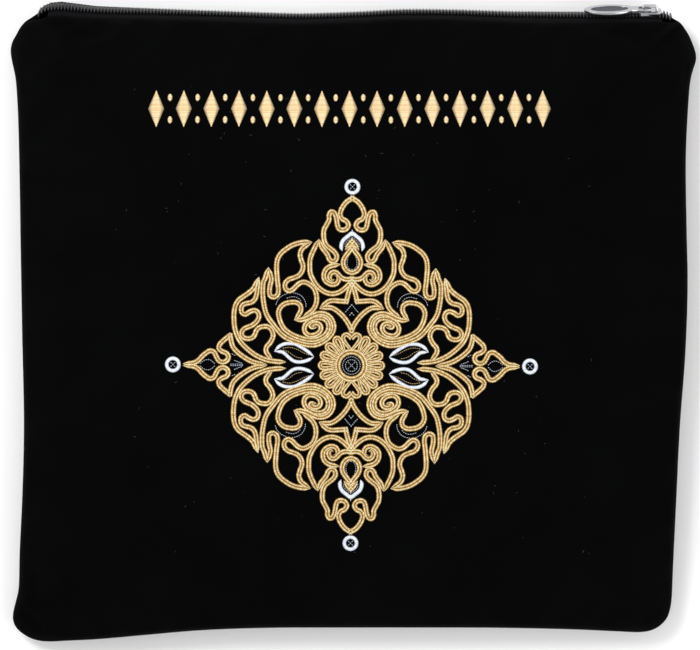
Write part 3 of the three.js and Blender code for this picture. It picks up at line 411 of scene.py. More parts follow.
def face_height(side, rim_x, rim_y, rim_z, even_z, r):
    """The height of a panel's face, r of the way out to a point of its rim."""
    powers = np.abs(rim_x / half_width) ** CONTOUR_POWER + np.abs(rim_y / half_height) ** CONTOUR_POWER
    squareness = powers ** (1 / CONTOUR_POWER)
    e = np.minimum(1, r * (squareness + (1 - squareness) * r**3))
    edge = even_z + (rim_z - even_z) * r**8
    if side > 0:
        return BAG_DEPTH + (edge - BAG_DEPTH) * (1 - (1 - e**3) ** FRONT_FULLNESS)
    s = np.maximum(0, (e - REST_SHARE) / (1 - REST_SHARE))
    return edge * (1 - (1 - s**2) ** BACK_FULLNESS)


# Materials

def plain(name, colour, roughness, metallic=0.0):
    """A material with its nodes, its main shader and its links at hand."""
    material = bpy.data.materials.new(name)
    material.use_nodes = True
    nodes, links = material.node_tree.nodes, material.node_tree.links
    shader = nodes["Principled BSDF"]
    shader.inputs["Base Color"].default_value = (*colour, 1)
    shader.inputs["Roughness"].default_value = roughness
    shader.inputs["Metallic"].default_value = metallic
    return material, nodes, links, shader


def group_node(nodes, group, **values):
    node = nodes.new("ShaderNodeGroup")
    node.node_tree = group
    for name, value in values.items():
        node.inputs[name].default_value = value
    return node


def new_group(name, inputs, outputs):
    group = bpy.data.node_groups.new(name, "ShaderNodeTree")
    for label, kind, default in inputs:
        group.interface.new_socket(label, in_out="INPUT", socket_type=kind).default_value = default
    for label, kind in outputs:
        group.interface.new_socket(label, in_out="OUTPUT", socket_type=kind)
    return group, group.nodes.new("NodeGroupInput"), group.nodes.new("NodeGroupOutput")


def math_node(group, operation, a, b=None, c=None):
    node = group.nodes.new("ShaderNodeMath")
    node.operation = operation
    for socket, value in zip(node.inputs, (a, b, c)):
        if value is None:
            continue
        if isinstance(value, (int, float)):
            socket.default_value = value
        else:
            group.links.new(value, socket)
    return node.outputs[0]


def colour_mix(nodes, links, share, a, b, blend="MIX"):
    node = nodes.new("ShaderNodeMix")
    node.data_type = "RGBA"
    node.blend_type = blend
    for socket, value in ((node.inputs[0], share), (node.inputs[6], a), (node.inputs[7], b)):
        if isinstance(value, tuple):
            socket.default_value = (*value, 1)
        elif isinstance(value, (int, float)):
            socket.default_value = value
        else:
            links.new(value, socket)
    return node.outputs[2]


def bump(nodes, links, shader, height, strength, distance):
    node = nodes.new("ShaderNodeBump")
    node.inputs["Strength"].default_value = strength
    node.inputs["Distance"].default_value = distance
    links.new(height, node.inputs["Height"])
    links.new(node.outputs[0], shader.inputs["Normal"])


def pile_group():
    """Velvet pile: short tufts, brushed patches where it lies another way, and specks of lint."""
    group, start, end = new_group(
        "pile",
        [("Tuft Scale", "NodeSocketFloat", 2600.0), ("Brushed Scale", "NodeSocketFloat", 22.0),
         ("Lint Scale", "NodeSocketFloat", 420.0), ("Lint Amount", "NodeSocketFloat", 0.02)],
        [("Tufts", "NodeSocketFloat"), ("Brushed", "NodeSocketFloat"), ("Lint", "NodeSocketFloat")],
    )
    place = group.nodes.new("ShaderNodeTexCoord").outputs["Object"]

    def noise(scale_name, detail, rough):
        node = group.nodes.new("ShaderNodeTexNoise")
        node.inputs["Detail"].default_value = detail
        node.inputs["Roughness"].default_value = rough
        group.links.new(place, node.inputs["Vector"])
        group.links.new(start.outputs[scale_name], node.inputs["Scale"])
        return node.outputs[0]

    group.links.new(noise("Tuft Scale", 2, 0.6), end.inputs["Tufts"])
    group.links.new(noise("Brushed Scale", 3, 0.55), end.inputs["Brushed"])
    specks = group.nodes.new("ShaderNodeTexVoronoi")
    group.links.new(place, specks.inputs["Vector"])
    group.links.new(start.outputs["Lint Scale"], specks.inputs["Scale"])
    near = math_node(group, "LESS_THAN", specks.outputs["Distance"], 0.13)
    few = math_node(group, "LESS_THAN", specks.outputs["Color"], start.outputs["Lint Amount"])
    group.links.new(math_node(group, "MULTIPLY", near, few), end.inputs["Lint"])
    return group


def thread_group():
    """Strands laid across a stroke: ridges by its thread map, and a shade that differs strand by strand."""
    group, start, end = new_group(
        "laid_thread",
        [("Pitch mm", "NodeSocketFloat", 0.4), ("Slant", "NodeSocketFloat", 0.0),
         ("Wander", "NodeSocketFloat", 0.3)],
        [("Ridges", "NodeSocketFloat"), ("Shade", "NodeSocketFloat"), ("Across", "NodeSocketFloat")],
    )
    thread_map = group.nodes.new("ShaderNodeUVMap")
    thread_map.uv_map = "thread"
    parts = group.nodes.new("ShaderNodeSeparateXYZ")
    group.links.new(thread_map.outputs[0], parts.inputs[0])
    across = math_node(group, "ABSOLUTE", parts.outputs[1])
    wander = group.nodes.new("ShaderNodeTexNoise")
    wander.inputs["Scale"].default_value = 1.7
    group.links.new(thread_map.outputs[0], wander.inputs["Vector"])
    drift = math_node(group, "MULTIPLY", wander.outputs[0], start.outputs["Wander"])
    slanted = math_node(group, "MULTIPLY_ADD", across, start.outputs["Slant"], parts.outputs[0])
    along = math_node(group, "ADD", slanted, drift)
    turn = math_node(group, "DIVIDE", along, start.outputs["Pitch mm"])
    wave = math_node(group, "SINE", math_node(group, "MULTIPLY", turn, math.pi))
    group.links.new(math_node(group, "ABSOLUTE", wave), end.inputs["Ridges"])
    strand = group.nodes.new("ShaderNodeTexWhiteNoise")
    strand.noise_dimensions = "1D"
    group.links.new(math_node(group, "FLOOR", turn), strand.inputs["W"])
    group.links.new(strand.outputs[0], end.inputs["Shade"])
    group.links.new(across, end.inputs["Across"])
    return group


PILE = pile_group()
LAID_THREAD = thread_group()


# The braid's colour from its middle (0) to its edges (0.5): painted shade in the groove at the middle,
# painted highlights on the two crests, and painted shade towards the edges
BRAID_PAINTED_LIGHT = [(0.0, (0.44, 0.19, 0.0)), (0.1, (0.56, 0.28, 0.015)), (0.2, (1.0, 0.97, 0.7)),
               (0.3, (1.0, 0.92, 0.6)), (0.4, (0.66, 0.4, 0.07)), (0.49, (0.24, 0.11, 0.008))]


def velvet_material():
    """Deep black pile with faint brushed patches and specks of lint."""
    material, nodes, links, shader = plain("black_velvet", (0.0022, 0.0022, 0.0026), 0.95)
    shader.inputs["Specular IOR Level"].default_value = 0.04
    shader.inputs["Sheen Weight"].default_value = 0.015
    shader.inputs["Sheen Roughness"].default_value = 0.35
    shader.inputs["Sheen Tint"].default_value = (0.8, 0.82, 0.9, 1)
    pile = group_node(nodes, PILE)
    flat, raised = (0.0002, 0.0002, 0.0003), (0.0011, 0.0012, 0.0014)
    brushed = colour_mix(nodes, links, pile.outputs["Brushed"], flat, raised)
    linted = colour_mix(nodes, links, pile.outputs["Lint"], brushed, (0.09, 0.09, 0.1))
    links.new(linted, shader.inputs["Base Color"])
    bump(nodes, links, shader, pile.outputs["Tufts"], 0.5, 0.0005)
    return material


def braid_material():
    """Couched metallic braid: painted highlights on two crests, painted shade in the deep groove between
    them and at the edges.
    """
    material, nodes, links, shader = plain("gold_braid", (0.8, 0.6, 0.3), 0.4)
    shader.inputs["Specular IOR Level"].default_value = 0.4
    shader.inputs["Sheen Weight"].default_value = 0.04
    shader.inputs["Sheen Roughness"].default_value = 0.4
    shader.inputs["Sheen Tint"].default_value = (1, 0.9, 0.7, 1)
    thread = group_node(nodes, LAID_THREAD, **{"Pitch mm": 0.38, "Slant": 1.4, "Wander": 0.15})
    # Painted light across the braid: highlights on the crests, shade in the groove and at the edges
    painted_light_ramp = nodes.new("ShaderNodeValToRGB")
    tones = painted_light_ramp.color_ramp.elements
    for place, tone in BRAID_PAINTED_LIGHT:
        stop = tones.new(place)
        stop.color = (*tone, 1)
    tones.remove(tones[0])
    tones.remove(tones[len(tones) - 1])
    links.new(thread.outputs["Across"], painted_light_ramp.inputs[0])
    # Partly a random tone per strand, partly painted shade between the strands that breaks up the crests
    shaded = colour_mix(nodes, links, thread.outputs["Shade"], (0.62, 0.52, 0.36), (1, 1, 1))
    lit = colour_mix(nodes, links, 1, painted_light_ramp.outputs[0], shaded, "MULTIPLY")
    links.new(lit, shader.inputs["Base Color"])
    bump(nodes, links, shader, thread.outputs["Ridges"], 0.7, 0.0002)
    return material


def satin_material(name, dark, light, pitch, roughness=0.38):
    """Flat stitches side by side, with painted shade where they turn down at a stroke's edges."""
    material, nodes, links, shader = plain(name, light, roughness)
    shader.inputs["Specular IOR Level"].default_value = 0.6
    shader.inputs["Sheen Weight"].default_value = 0.2
    thread = group_node(nodes, LAID_THREAD, **{"Pitch mm": pitch, "Slant": 0.5, "Wander": 0.25})
    strands = colour_mix(nodes, links, thread.outputs["Shade"], dark, light)
    # Painted shade: the colour goes darker towards a stroke's edges
    edge_shade_share = nodes.new("ShaderNodeMapRange")
    edge_shade_share.inputs["From Min"].default_value = 0.26
    edge_shade_share.inputs["From Max"].default_value = 0.5
    links.new(thread.outputs["Across"], edge_shade_share.inputs["Value"])
    edge = tuple(0.3 * part for part in dark)
    links.new(colour_mix(nodes, links, edge_shade_share.outputs[0], strands, edge), shader.inputs["Base Color"])
    bump(nodes, links, shader, thread.outputs["Ridges"], 0.7, 0.0002)
    return material


def handling_group():
    """Wear from handling: small marks all over."""
    group, start, end = new_group(
        "handling", [("Scale", "NodeSocketFloat", 900.0)], [("Marks", "NodeSocketFloat")]
    )
    noise = group.nodes.new("ShaderNodeTexNoise")
    noise.inputs["Detail"].default_value = 4
    group.links.new(group.nodes.new("ShaderNodeTexCoord").outputs["Object"], noise.inputs["Vector"])
    group.links.new(start.outputs["Scale"], noise.inputs["Scale"])
    group.links.new(noise.outputs[0], end.inputs["Marks"])
    return group


HANDLING = handling_group()


def metal_material(name, colour, roughness):
    """A plated finish that handling has made rougher here and there."""
    material, nodes, links, shader = plain(name, colour, roughness, 1.0)
    handling = group_node(nodes, HANDLING, Scale=900.0)
    spread = nodes.new("ShaderNodeMapRange")
    spread.inputs["To Min"].default_value = roughness * 0.7
    spread.inputs["To Max"].default_value = roughness * 1.5
    links.new(handling.outputs["Marks"], spread.inputs["Value"])
    links.new(spread.outputs[0], shader.inputs["Roughness"])
    bump(nodes, links, shader, handling.outputs["Marks"], 0.08, 0.0001)
    return material


def marked_material(name, dark, light, roughness, scale):
    """A plain finish that goes lighter and darker with handling."""
    material, nodes, links, shader = plain(name, light, roughness)
    handling = group_node(nodes, HANDLING, Scale=scale)
    links.new(colour_mix(nodes, links, handling.outputs["Marks"], dark, light), shader.inputs["Base Color"])
    return material


def tape_material():
    """Twill tape: fine slanting ribs."""
    material, nodes, links, shader = plain("zip_tape", (0.004, 0.004, 0.005), 0.95)
    shader.inputs["Specular IOR Level"].default_value = 0.06
    place = nodes.new("ShaderNodeTexCoord")
    ribs = nodes.new("ShaderNodeTexWave")
    ribs.bands_direction = "DIAGONAL"
    ribs.inputs["Scale"].default_value = 420
    ribs.inputs["Distortion"].default_value = 0.6
    links.new(place.outputs["Object"], ribs.inputs["Vector"])
    twill = colour_mix(nodes, links, ribs.outputs[1], (0.001, 0.001, 0.0013), (0.006, 0.0062, 0.0075))
    links.new(twill, shader.inputs["Base Color"])
    bump(nodes, links, shader, ribs.outputs[1], 0.5, 0.0002)
    return material


VELVET = velvet_material()
GOLD_BRAID = braid_material()
CREAM_SATIN = satin_material("cream_satin", (0.7, 0.47, 0.2), (0.93, 0.74, 0.44), 0.42)
WHITE_SATIN = satin_material("white_satin", (0.62, 0.68, 0.8), (0.92, 0.95, 1.0), 0.42)
SILVER_THREAD = satin_material("silver_thread", (0.25, 0.28, 0.34), (0.6, 0.65, 0.75), 0.3, 0.3)
GOLD_THREAD = satin_material("gold_thread", (0.3, 0.18, 0.05), (0.6, 0.42, 0.16), 0.3, 0.3)
CHROME = metal_material("plated_metal", (0.42, 0.42, 0.44), 0.16)
GUNMETAL = metal_material("dark_metal", (0.03, 0.032, 0.05), 0.25)
COIL = marked_material("black_coil", (0.006, 0.006, 0.007), (0.02, 0.02, 0.023), 0.28, 500.0)
LINT = marked_material("lint", (0.06, 0.06, 0.07), (0.2, 0.2, 0.21), 0.9, 300.0)
TAPE = tape_material()


# Meshes

def placed(name, data):
    """A new object of the scene that shows a mesh, a light or a camera."""
    made = bpy.data.objects.new(name, data)
    bpy.context.scene.collection.objects.link(made)
    return made


def settle(made):
    """Keeps the shape that a piece's modifiers give it."""
    mesh = bpy.data.meshes.new_from_object(made.evaluated_get(bpy.context.evaluated_depsgraph_get()))
    made.modifiers.clear()
    made.data = mesh


def joined(before, after):
    """The faces between each closed loop of corners and the next one."""
    return np.stack([before, np.roll(before, -1, 1), np.roll(after, -1, 1), after], axis=-1).reshape(-1, 4)


def piece(name, points, faces, material, body="bag", thread_map=None, stands_for=()):
    """A smooth mesh that rides on a body. faces is an array of rows of corners, or a list of such arrays."""
    points = np.asarray(points, float).reshape(-1, 3)
    faces = [np.asarray(rows, int) for rows in (faces if isinstance(faces, list) else [faces])]
    corners = np.concatenate([rows.ravel() for rows in faces])
    sizes = np.concatenate([np.full(len(rows), rows.shape[1]) for rows in faces])
    mesh = bpy.data.meshes.new(name)
    mesh.vertices.add(len(points))
    mesh.vertices.foreach_set("co", points.ravel())
    mesh.loops.add(len(corners))
    mesh.loops.foreach_set("vertex_index", corners)
    mesh.polygons.add(len(sizes))
    mesh.polygons.foreach_set("loop_start", np.cumsum(sizes) - sizes)
    mesh.polygons.foreach_set("use_smooth", np.ones(len(sizes), bool))
    mesh.update(calc_edges=True)
    if thread_map is not None:
        layer = mesh.uv_layers.new(name="thread")
        layer.data.foreach_set("uv", np.asarray(thread_map, float).reshape(-1, 2)[corners].ravel())
    mesh.validate()
    made = placed(name, mesh)
    made.data.materials.append(material)
    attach(made, body)
    if stands_for:
        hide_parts(*stands_for)
    return made


class Stitching:
    """Strokes of one kind gathered into one mesh."""

    def __init__(self):
        self.points, self.sides, self.ends, self.thread_map, self.count = [], [], [], [], 0

    def add(self, points, thread_map, closed=False):
        """Rows of section points, each row a closed loop."""
        rows, corners, _ = points.shape
        index = np.arange(rows * corners).reshape(rows, corners) + self.count
        after = np.roll(index, -1, axis=0) if closed else index[1:]
        before = index if closed else index[:-1]
        self.sides.append(joined(before, after))
        if not closed:
            first, last = index[0], index[-1]
            self.ends += [(first[0], first[j + 1], first[j]) for j in range(1, corners - 1)]
            self.ends += [(last[0], last[j], last[j + 1]) for j in range(1, corners - 1)]
        self.points.append(points.reshape(-1, 3))
        self.thread_map.append(thread_map.reshape(-1, 2))
        self.count += rows * corners

    def make(self, name, material, slot, stands_for=()):
        faces = [np.vstack(self.sides)] + ([np.array(self.ends)] if self.ends else [])
        return piece(name, np.vstack(self.points), faces, material,
                     thread_map=np.vstack(self.thread_map), stands_for=stands_for)


# The velvet panels

def velvet_panel(side):
    """The front's (1) or the back's (-1) velvet: a domed sheet that is slackened, rounded and tucked in."""
    bearings, reaches, heights, evened = rim_of(side)
    count = 96
    t = np.linspace(-1, 1, count + 1)
    t = t * (1 + EDGE_CROWDING * (1 - t**2))
    u, v = np.meshgrid(t, t, indexing="ij")
    r = np.maximum(np.abs(u), np.abs(v))
    bearing = np.arctan2(v * half_height, u * half_width)
    reach, rim_z, even_z = (
        np.interp(bearing, bearings, row, period=2 * math.pi) for row in (reaches, heights, evened)
    )
    rim_x, rim_y = reach * np.cos(bearing), reach * np.sin(bearing)
    z = face_height(side, rim_x, rim_y, rim_z, even_z, r)
    # Puckers fan in from the seam
    way = bearing * (half_width + half_height) / 2
    ripple = sum(np.sin(2 * math.pi * way / (wave * MM) + phase) for wave, phase in PUCKER_WAVES)
    fade = np.clip((r - PUCKER_START) / PUCKER_GROWTH, 0, 1) ** 2 * np.clip((1 - r) / PUCKER_END, 0, 1)
    z = z + side * PUCKER * WAVE_SHARE * ripple * fade
    if side < 0:
        z = np.maximum(z, 0.0)
    points = np.stack([r * rim_x + bag_middle[0], r * rim_y + bag_middle[1], z], axis=-1).reshape(-1, 3)
    index = np.arange(len(points)).reshape(count + 1, count + 1)
    quads = np.stack([index[:-1, :-1], index[1:, :-1], index[1:, 1:], index[:-1, 1:]], axis=-1)
    quads = quads.reshape(-1, 4)
    if side < 0:
        quads = quads[:, ::-1]
    name = "front_velvet" if side > 0 else "back_velvet"
    node = "front_panel" if side > 0 else "back_panel"
    made = piece(name, points, quads, VELVET, stands_for=(node,))
    held = r > HELD_SHARE
    if side < 0:
        held |= r < REST_SHARE + HELD_BEYOND
    slacken(made, held.reshape(-1), side)
    halved(made)
    tuck_in(made, side)
    return made


def slacken(made, held, side):
    """Lets the panel fill and wrinkle as cloth held at its seam, and keeps how it lies after some frames."""
    before = np.array([v.co for v in made.data.vertices])
    pins = made.vertex_groups.new(name="held")
    pins.add([int(i) for i in np.flatnonzero(held)], 1.0, "REPLACE")
    cloth = made.modifiers.new("slack", "CLOTH")
    settings = cloth.settings
    settings.quality = 5
    settings.mass = 0.4
    settings.tension_stiffness = settings.compression_stiffness = 20
    settings.bending_stiffness = 2.5
    settings.vertex_group_mass = "held"
    settings.use_pressure = True
    settings.uniform_pressure_force = CLOTH_PRESSURE * (1 if side > 0 else BACK_PRESSURE_SHARE)
    settings.shrink_min = -CLOTH_GROWTH
    settings.effector_weights.gravity = 0
    scene = bpy.context.scene
    for step in range(1, CLOTH_FRAMES + 1):
        scene.frame_set(step)
    after_mesh = made.evaluated_get(bpy.context.evaluated_depsgraph_get()).data
    after = np.array([v.co for v in after_mesh.vertices])
    made.modifiers.remove(cloth)
    scene.frame_set(1)
    move = after - before
    size = np.linalg.norm(move, axis=1, keepdims=True)
    move *= np.minimum(1, CLOTH_CAP / np.maximum(size, 1e-9))
    after = before + move
    if side < 0:
        after[:, 2] = np.maximum(after[:, 2], 0.0)
    made.data.vertices.foreach_set("co", after.ravel())
    made.data.update()


def halved(made):
    """Rounds a panel by splitting its faces once."""
    finer = made.modifiers.new("finer", "SUBSURF")
    finer.levels = finer.render_levels = 1
    finer.boundary_smooth = "PRESERVE_CORNERS"
    settle(made)


def tuck_in(made, side):
    """Rolls the edge of a panel in at its seam."""
    form = bmesh.new()
    form.from_mesh(made.data)
    edges = [e for e in form.edges if e.is_boundary]
    for inwards, down in LIP_ROLL:
        grown = bmesh.ops.extrude_edge_only(form, edges=edges)["geom"]
        edges = [e for e in grown if isinstance(e, bmesh.types.BMEdge) and e.is_boundary]
        for vert in (g for g in grown if isinstance(g, bmesh.types.BMVert)):
            flat = Vector((vert.co.x - bag_middle[0], vert.co.y - bag_middle[1], 0)).normalized()
            vert.co -= flat * inwards * LIP + Vector((0, 0, side * down * LIP))
    bmesh.ops.recalc_face_normals(form, faces=form.faces)
    for face in form.faces:
        face.smooth = True
    form.to_mesh(made.data)
    form.free()


front = velvet_panel(1)
velvet_panel(-1)


# The front's height, for what is stitched on it

form = bmesh.new()
form.from_mesh(front.data)
front_tree = BVHTree.FromBMesh(form)
form.free()
grid_x, grid_y = (np.arange(m - EMBROIDERY_REACH, m + EMBROIDERY_REACH, HEIGHT_STEP) for m in bag_middle)
down = Vector((0, 0, -1))
grid_z = np.array([[front_tree.ray_cast(Vector((x, y, 1)), down)[0].z for y in grid_y] for x in grid_x])


def front_height(x, y):
    """The front's height at points of the embroidery."""
    i = np.clip((x - grid_x[0]) / HEIGHT_STEP, 0, len(grid_x) - 1.001)
    j = np.clip((y - grid_y[0]) / HEIGHT_STEP, 0, len(grid_y) - 1.001)
    a, b = i.astype(int), j.astype(int)
    s, t = i - a, j - b
    return (
        grid_z[a, b] * (1 - s) * (1 - t) + grid_z[a + 1, b] * s * (1 - t)
        + grid_z[a, b + 1] * (1 - s) * t + grid_z[a + 1, b + 1] * s * t
    )


# Stitches

BRAID_SECTION = [(-0.5, -0.2), (-0.5, 0.25), (-0.43, 0.66), (-0.28, 0.92), (-0.13, 0.72), (0, 0.42),
                 (0.13, 0.72), (0.28, 0.92), (0.43, 0.66), (0.5, 0.25), (0.5, -0.2)]
SATIN_SECTION = [(-0.5, -0.2), (-0.48, 0.3), (-0.3, 0.82), (0, 1), (0.3, 0.82), (0.48, 0.3), (0.5, -0.2)]


def stroke(stitching, line, section, width, height, closed=False, plait=0.0, taper=(0, 0), shape=None):
    """A raised stroke of thread along a flat line on the front. taper is how long its pointed ends are."""
    n = len(line)
    ahead = np.roll(line, -1, 0) - np.roll(line, 1, 0) if closed else np.gradient(line, axis=0)
    side = np.stack([-ahead[:, 1], ahead[:, 0]], axis=1)
    side /= np.maximum(np.linalg.norm(side, axis=1, keepdims=True), 1e-9)
    run = np.concatenate([[0], np.cumsum(np.linalg.norm(np.diff(line, axis=0), axis=1))])
    scale = np.ones(n) if shape is None else shape
    for gap, length in zip((run, run[-1] - run), taper):
        if length:
            scale = scale * np.clip(gap / length, TIP_SHARE, 1) ** 0.8
    scale = scale[:, None]
    across = np.array([a for a, _ in section])
    lift = np.array([h for _, h in section])
    turn = 2 * math.pi * (run[:, None] / PLAIT_PITCH - PLAIT_LAG * np.abs(across))
    teeth = 1 + (EDGE_TEETH * np.sin(turn * TEETH_RATE) * (np.abs(across) > 0.4) if plait else 0)
    x = line[:, None, 0] + side[:, None, 0] * across * width * scale * teeth
    y = line[:, None, 1] + side[:, None, 1] * across * width * scale * teeth
    rise = lift * height * np.minimum(1, scale * 1.3) + plait * height * np.sin(turn) * (lift > 0.5) * scale
    z = front_height(x, y) + rise
    thread_map = np.stack(np.broadcast_arrays(run[:, None] / MM, across), axis=-1)
    stitching.add(np.stack([x, y, z], axis=-1), thread_map, closed)


def dashes(stitching, line):
    """A row of running stitches, each a small raised dash."""
    run = np.concatenate([[0], np.cumsum(np.linalg.norm(np.diff(line, axis=0), axis=1))])
    count = max(1, int(run[-1] / DASH_PITCH))
    for i in range(count):
        middle = (i + 0.5) * run[-1] / count
        at = np.linspace(middle - DASH_LENGTH / 2, middle + DASH_LENGTH / 2, len(DASH_SHAPE))
        bit = np.stack([np.interp(at, run, line[:, 0]), np.interp(at, run, line[:, 1])], axis=1)
        stroke(stitching, bit, SATIN_SECTION, DASH_WIDTH, DASH_HEIGHT, shape=DASH_SHAPE)


braid_step = 0.32 * MM


def pointed(strand, number, end):
    """Whether a run ends in a point. It doesn't on the middle line, nor where it goes on at a wide angle."""
    run = strand[number]
    foot, before = (run[0], run[1]) if end == 0 else (run[-1], run[-2])
    if abs(foot[0]) < 1:
        return False
    neighbour = number - 1 if end == 0 else number + 1
    if not 0 <= neighbour < len(strand):
        return True
    beyond = strand[neighbour][-2] if end == 0 else strand[neighbour][1]
    one, other = np.subtract(before, foot), np.subtract(beyond, foot)
    return one @ other / (np.linalg.norm(one) * np.linalg.norm(other)) > 0.5


def lengthened(line, start, end):
    """A line made longer by a length at its start and its end."""
    first = line[0] + (line[0] - line[1]) / np.linalg.norm(line[0] - line[1]) * start
    last = line[-1] + (line[-1] - line[-2]) / np.linalg.norm(line[-1] - line[-2]) * end
    return np.vstack([[first]] * (start > 0) + [line] + [[last]] * (end > 0))


def braid_motif(name, key, quarters):
    """A motif of the braid, in one quarter of the medallion or mirrored into two."""
    stitching = Stitching()
    for right, up in (QUARTERS[quarter] for quarter in quarters):
        for strand in BRAID_CHART[key]:
            for number, run in enumerate(strand):
                tips = [pointed(strand, number, end) for end in (0, -1)]
                blunt = [0 if tip else BRAID_WIDTH * BLUNT_SHARE for tip in tips]
                line = lengthened(smooth(chart(run, right, up), braid_step), *blunt)
                stroke(stitching, line, BRAID_SECTION, BRAID_WIDTH, BRAID_HEIGHT, plait=PLAIT_RISE,
                       taper=[TIP_LENGTH * tip for tip in tips])
    stitching.make(name + "_braided", GOLD_BRAID, "gold_thread", (name,))


def side_quarters(right=None, up=None):
    return [q for q, (r, u) in QUARTERS.items() if right in (None, r) and up in (None, u)]


braid_motif("heart_top", "heart", side_quarters(up=1))
braid_motif("heart_bottom", "heart", side_quarters(up=-1))
for quarter in QUARTERS:
    braid_motif("scroll_" + quarter, "scroll", [quarter])
braid_motif("spray_left", "spray", side_quarters(right=-1))
braid_motif("spray_right", "spray", side_quarters(right=1))
braid_motif("point_left", "point", side_quarters(right=-1))
braid_motif("point_right", "point", side_quarters(right=1))


def rosette():
    """The flower in the middle: petals on both sides, a heart above and below, and the ring."""
    stitching = Stitching()
    petal = PETAL_CHART + [(out, -aside) for out, aside in reversed(PETAL_CHART[:-1])]
    for way in (1, -1):
        for i in range(SIDE_PETALS):
            turn = (i - (SIDE_PETALS - 1) / 2) * PETAL_TURN
            outwards = np.array([way * math.cos(turn), math.sin(turn)])
            sideways = np.array([-way * math.sin(turn), math.cos(turn)])
            line = [out * outwards + aside * sideways for out, aside in petal]
            rosette_stroke(stitching, line)
        for right in (1, -1):
            rosette_stroke(stitching, [(right * x, way * y) for x, y in ROSETTE_HEART_CHART])
    turns = np.linspace(0, 2 * math.pi, 24, endpoint=False)
    ring = on_circle(turns) * RING_CHART
    stroke(stitching, smooth(chart(ring), braid_step, True)[:-1], BRAID_SECTION, RING_BRAID_WIDTH,
           RING_BRAID_HEIGHT, closed=True, plait=PLAIT_RISE)
    stitching.make("rosette_braided", GOLD_BRAID, "gold_thread", ("rosette_braid",))


def rosette_stroke(stitching, points):
    """A petal's stroke, which narrows towards the rosette's middle."""
    line = smooth(chart(points), braid_step)
    out = np.linalg.norm(line - medallion_middle, axis=1) / square
    shape = np.interp(out, *zip(*PETAL_NARROWING))
    stroke(stitching, line, BRAID_SECTION, BRAID_WIDTH, BRAID_HEIGHT, plait=PLAIT_RISE, shape=shape)


rosette()


def satin_outlines():
    """The white leaves, the crescents with their spikes, and the four rings at the medallion's tips."""
    for quarter, (right, up) in QUARTERS.items():
        leaf = Stitching()
        for run in LEAF_CHART:
            line = smooth(chart(run, right, up), SATIN_STEP)
            stroke(leaf, line, SATIN_SECTION, SATIN_WIDTH, SATIN_HEIGHT, taper=(LEAF_TIP, LEAF_TIP))
        leaf.make("leaf_" + quarter + "_satin", WHITE_SATIN, "white_thread", ("leaf_" + quarter,))
    for name, up in (("top", 1), ("bottom", -1)):
        crescent = Stitching()
        points = CRESCENT_CHART + [(-x, y) for x, y in reversed(CRESCENT_CHART[:-1])]
        line = smooth(chart(points, 1, up), SATIN_STEP)
        tips = (CRESCENT_TIP, CRESCENT_TIP)
        stroke(crescent, line, SATIN_SECTION, CRESCENT_WIDTH, SATIN_HEIGHT, taper=tips)
        spike = spaced(chart(SPIKE_CHART, 1, up), SPIKE_STEP)
        stroke(crescent, spike, SATIN_SECTION, SPIKE_WIDTH, SPIKE_HEIGHT, taper=(0, SPIKE_TIP))
        crescent.make("crescent_" + name + "_satin", WHITE_SATIN, "white_thread", ("crescent_" + name,))
    for name, right, up in (("top", 0, 1), ("right", 1, 0), ("bottom", 0, -1), ("left", -1, 0)):
        ring = Stitching()
        middle = chart([(right * CHART_REACH, up * CHART_REACH)])[0]
        turns = np.linspace(0, 2 * math.pi, 52, endpoint=False)
        circle = middle + RING_RADIUS * on_circle(turns)
        stroke(ring, circle, SATIN_SECTION, RING_BAND, SATIN_HEIGHT, closed=True)
        ring.make("compass_ring_" + name + "_satin", WHITE_SATIN, "white_thread", ("compass_ring_" + name,))


satin_outlines()


def running_stitches():
    """The silver and gold dotted lines, and the crosses in the rosette and the rings."""
    silver, gold = Stitching(), Stitching()
    for right, up in QUARTERS.values():
        for points in SILVER_CHART:
            dashes(silver, smooth(chart(points, right, up), STITCH_STEP))
        for points in GOLD_CHART:
            dashes(gold, smooth(chart(points, right, up), STITCH_STEP))
    around = np.linspace(0, 2 * math.pi, 33)
    for radius in ROSETTE_DOTS_CHART:
        dashes(silver, chart(on_circle(around) * radius))
    arm = CROSS_CHART / math.sqrt(2)
    for tilt in (1, -1):
        dashes(silver, spaced(chart([(-arm, -arm * tilt), (arm, arm * tilt)]), STITCH_STEP))
        for right, up in ((0, 1), (1, 0), (0, -1), (-1, 0)):
            middle = np.array([right, up]) * CHART_REACH
            arm_end = np.array([1, tilt]) * RING_CROSS_CHART
            dashes(silver, spaced(chart([middle - arm_end, middle + arm_end]), STITCH_STEP))
    silver.make("silver_stitches", SILVER_THREAD, "white_thread")
    gold.make("gold_stitches", GOLD_THREAD, "gold_thread")


running_stitches()


def border():
    """The row of satin lozenges, with a small oval between each two."""
    pitch = BORDER_LENGTH / LOZENGES
    y = BORDER_RISE + bag_middle[1]
    ovals = Stitching()
    for i in range(LOZENGES):
        x = (i - (LOZENGES - 1) / 2) * pitch + bag_middle[0] - BORDER_ASIDE
        lozenge = Stitching()
        t = np.linspace(-1, 1, 41)
        line = np.stack([np.full_like(t, x), y + t * LOZENGE_HEIGHT / 2], axis=1)
        taper = np.maximum(TIP_SHARE, 1 - np.abs(t)) ** 0.9
        stroke(lozenge, line, BRAID_SECTION, LOZENGE_WIDTH, BRAID_HEIGHT, shape=taper)
        name = "lozenge_%02d" % (i + 1)
        lozenge.make(name + "_satin", CREAM_SATIN, "gold_thread", (name,))
        if i + 1 < LOZENGES:
            for lift in (-0.5, 0.5):
                t = np.linspace(-1, 1, 15)
                rise = y + lift * OVAL_RISE * LOZENGE_HEIGHT + t * OVAL_REACH
                line = np.stack([np.full_like(t, x + pitch / 2), rise], axis=1)
                round_ends = np.sqrt(np.maximum(0.02, 1 - t**2))
                stroke(ovals, line, SATIN_SECTION, OVAL_WIDTH, OVAL_HEIGHT, shape=round_ends)
    ovals.make("border_ovals", CREAM_SATIN, "gold_thread")


border()


# The zip

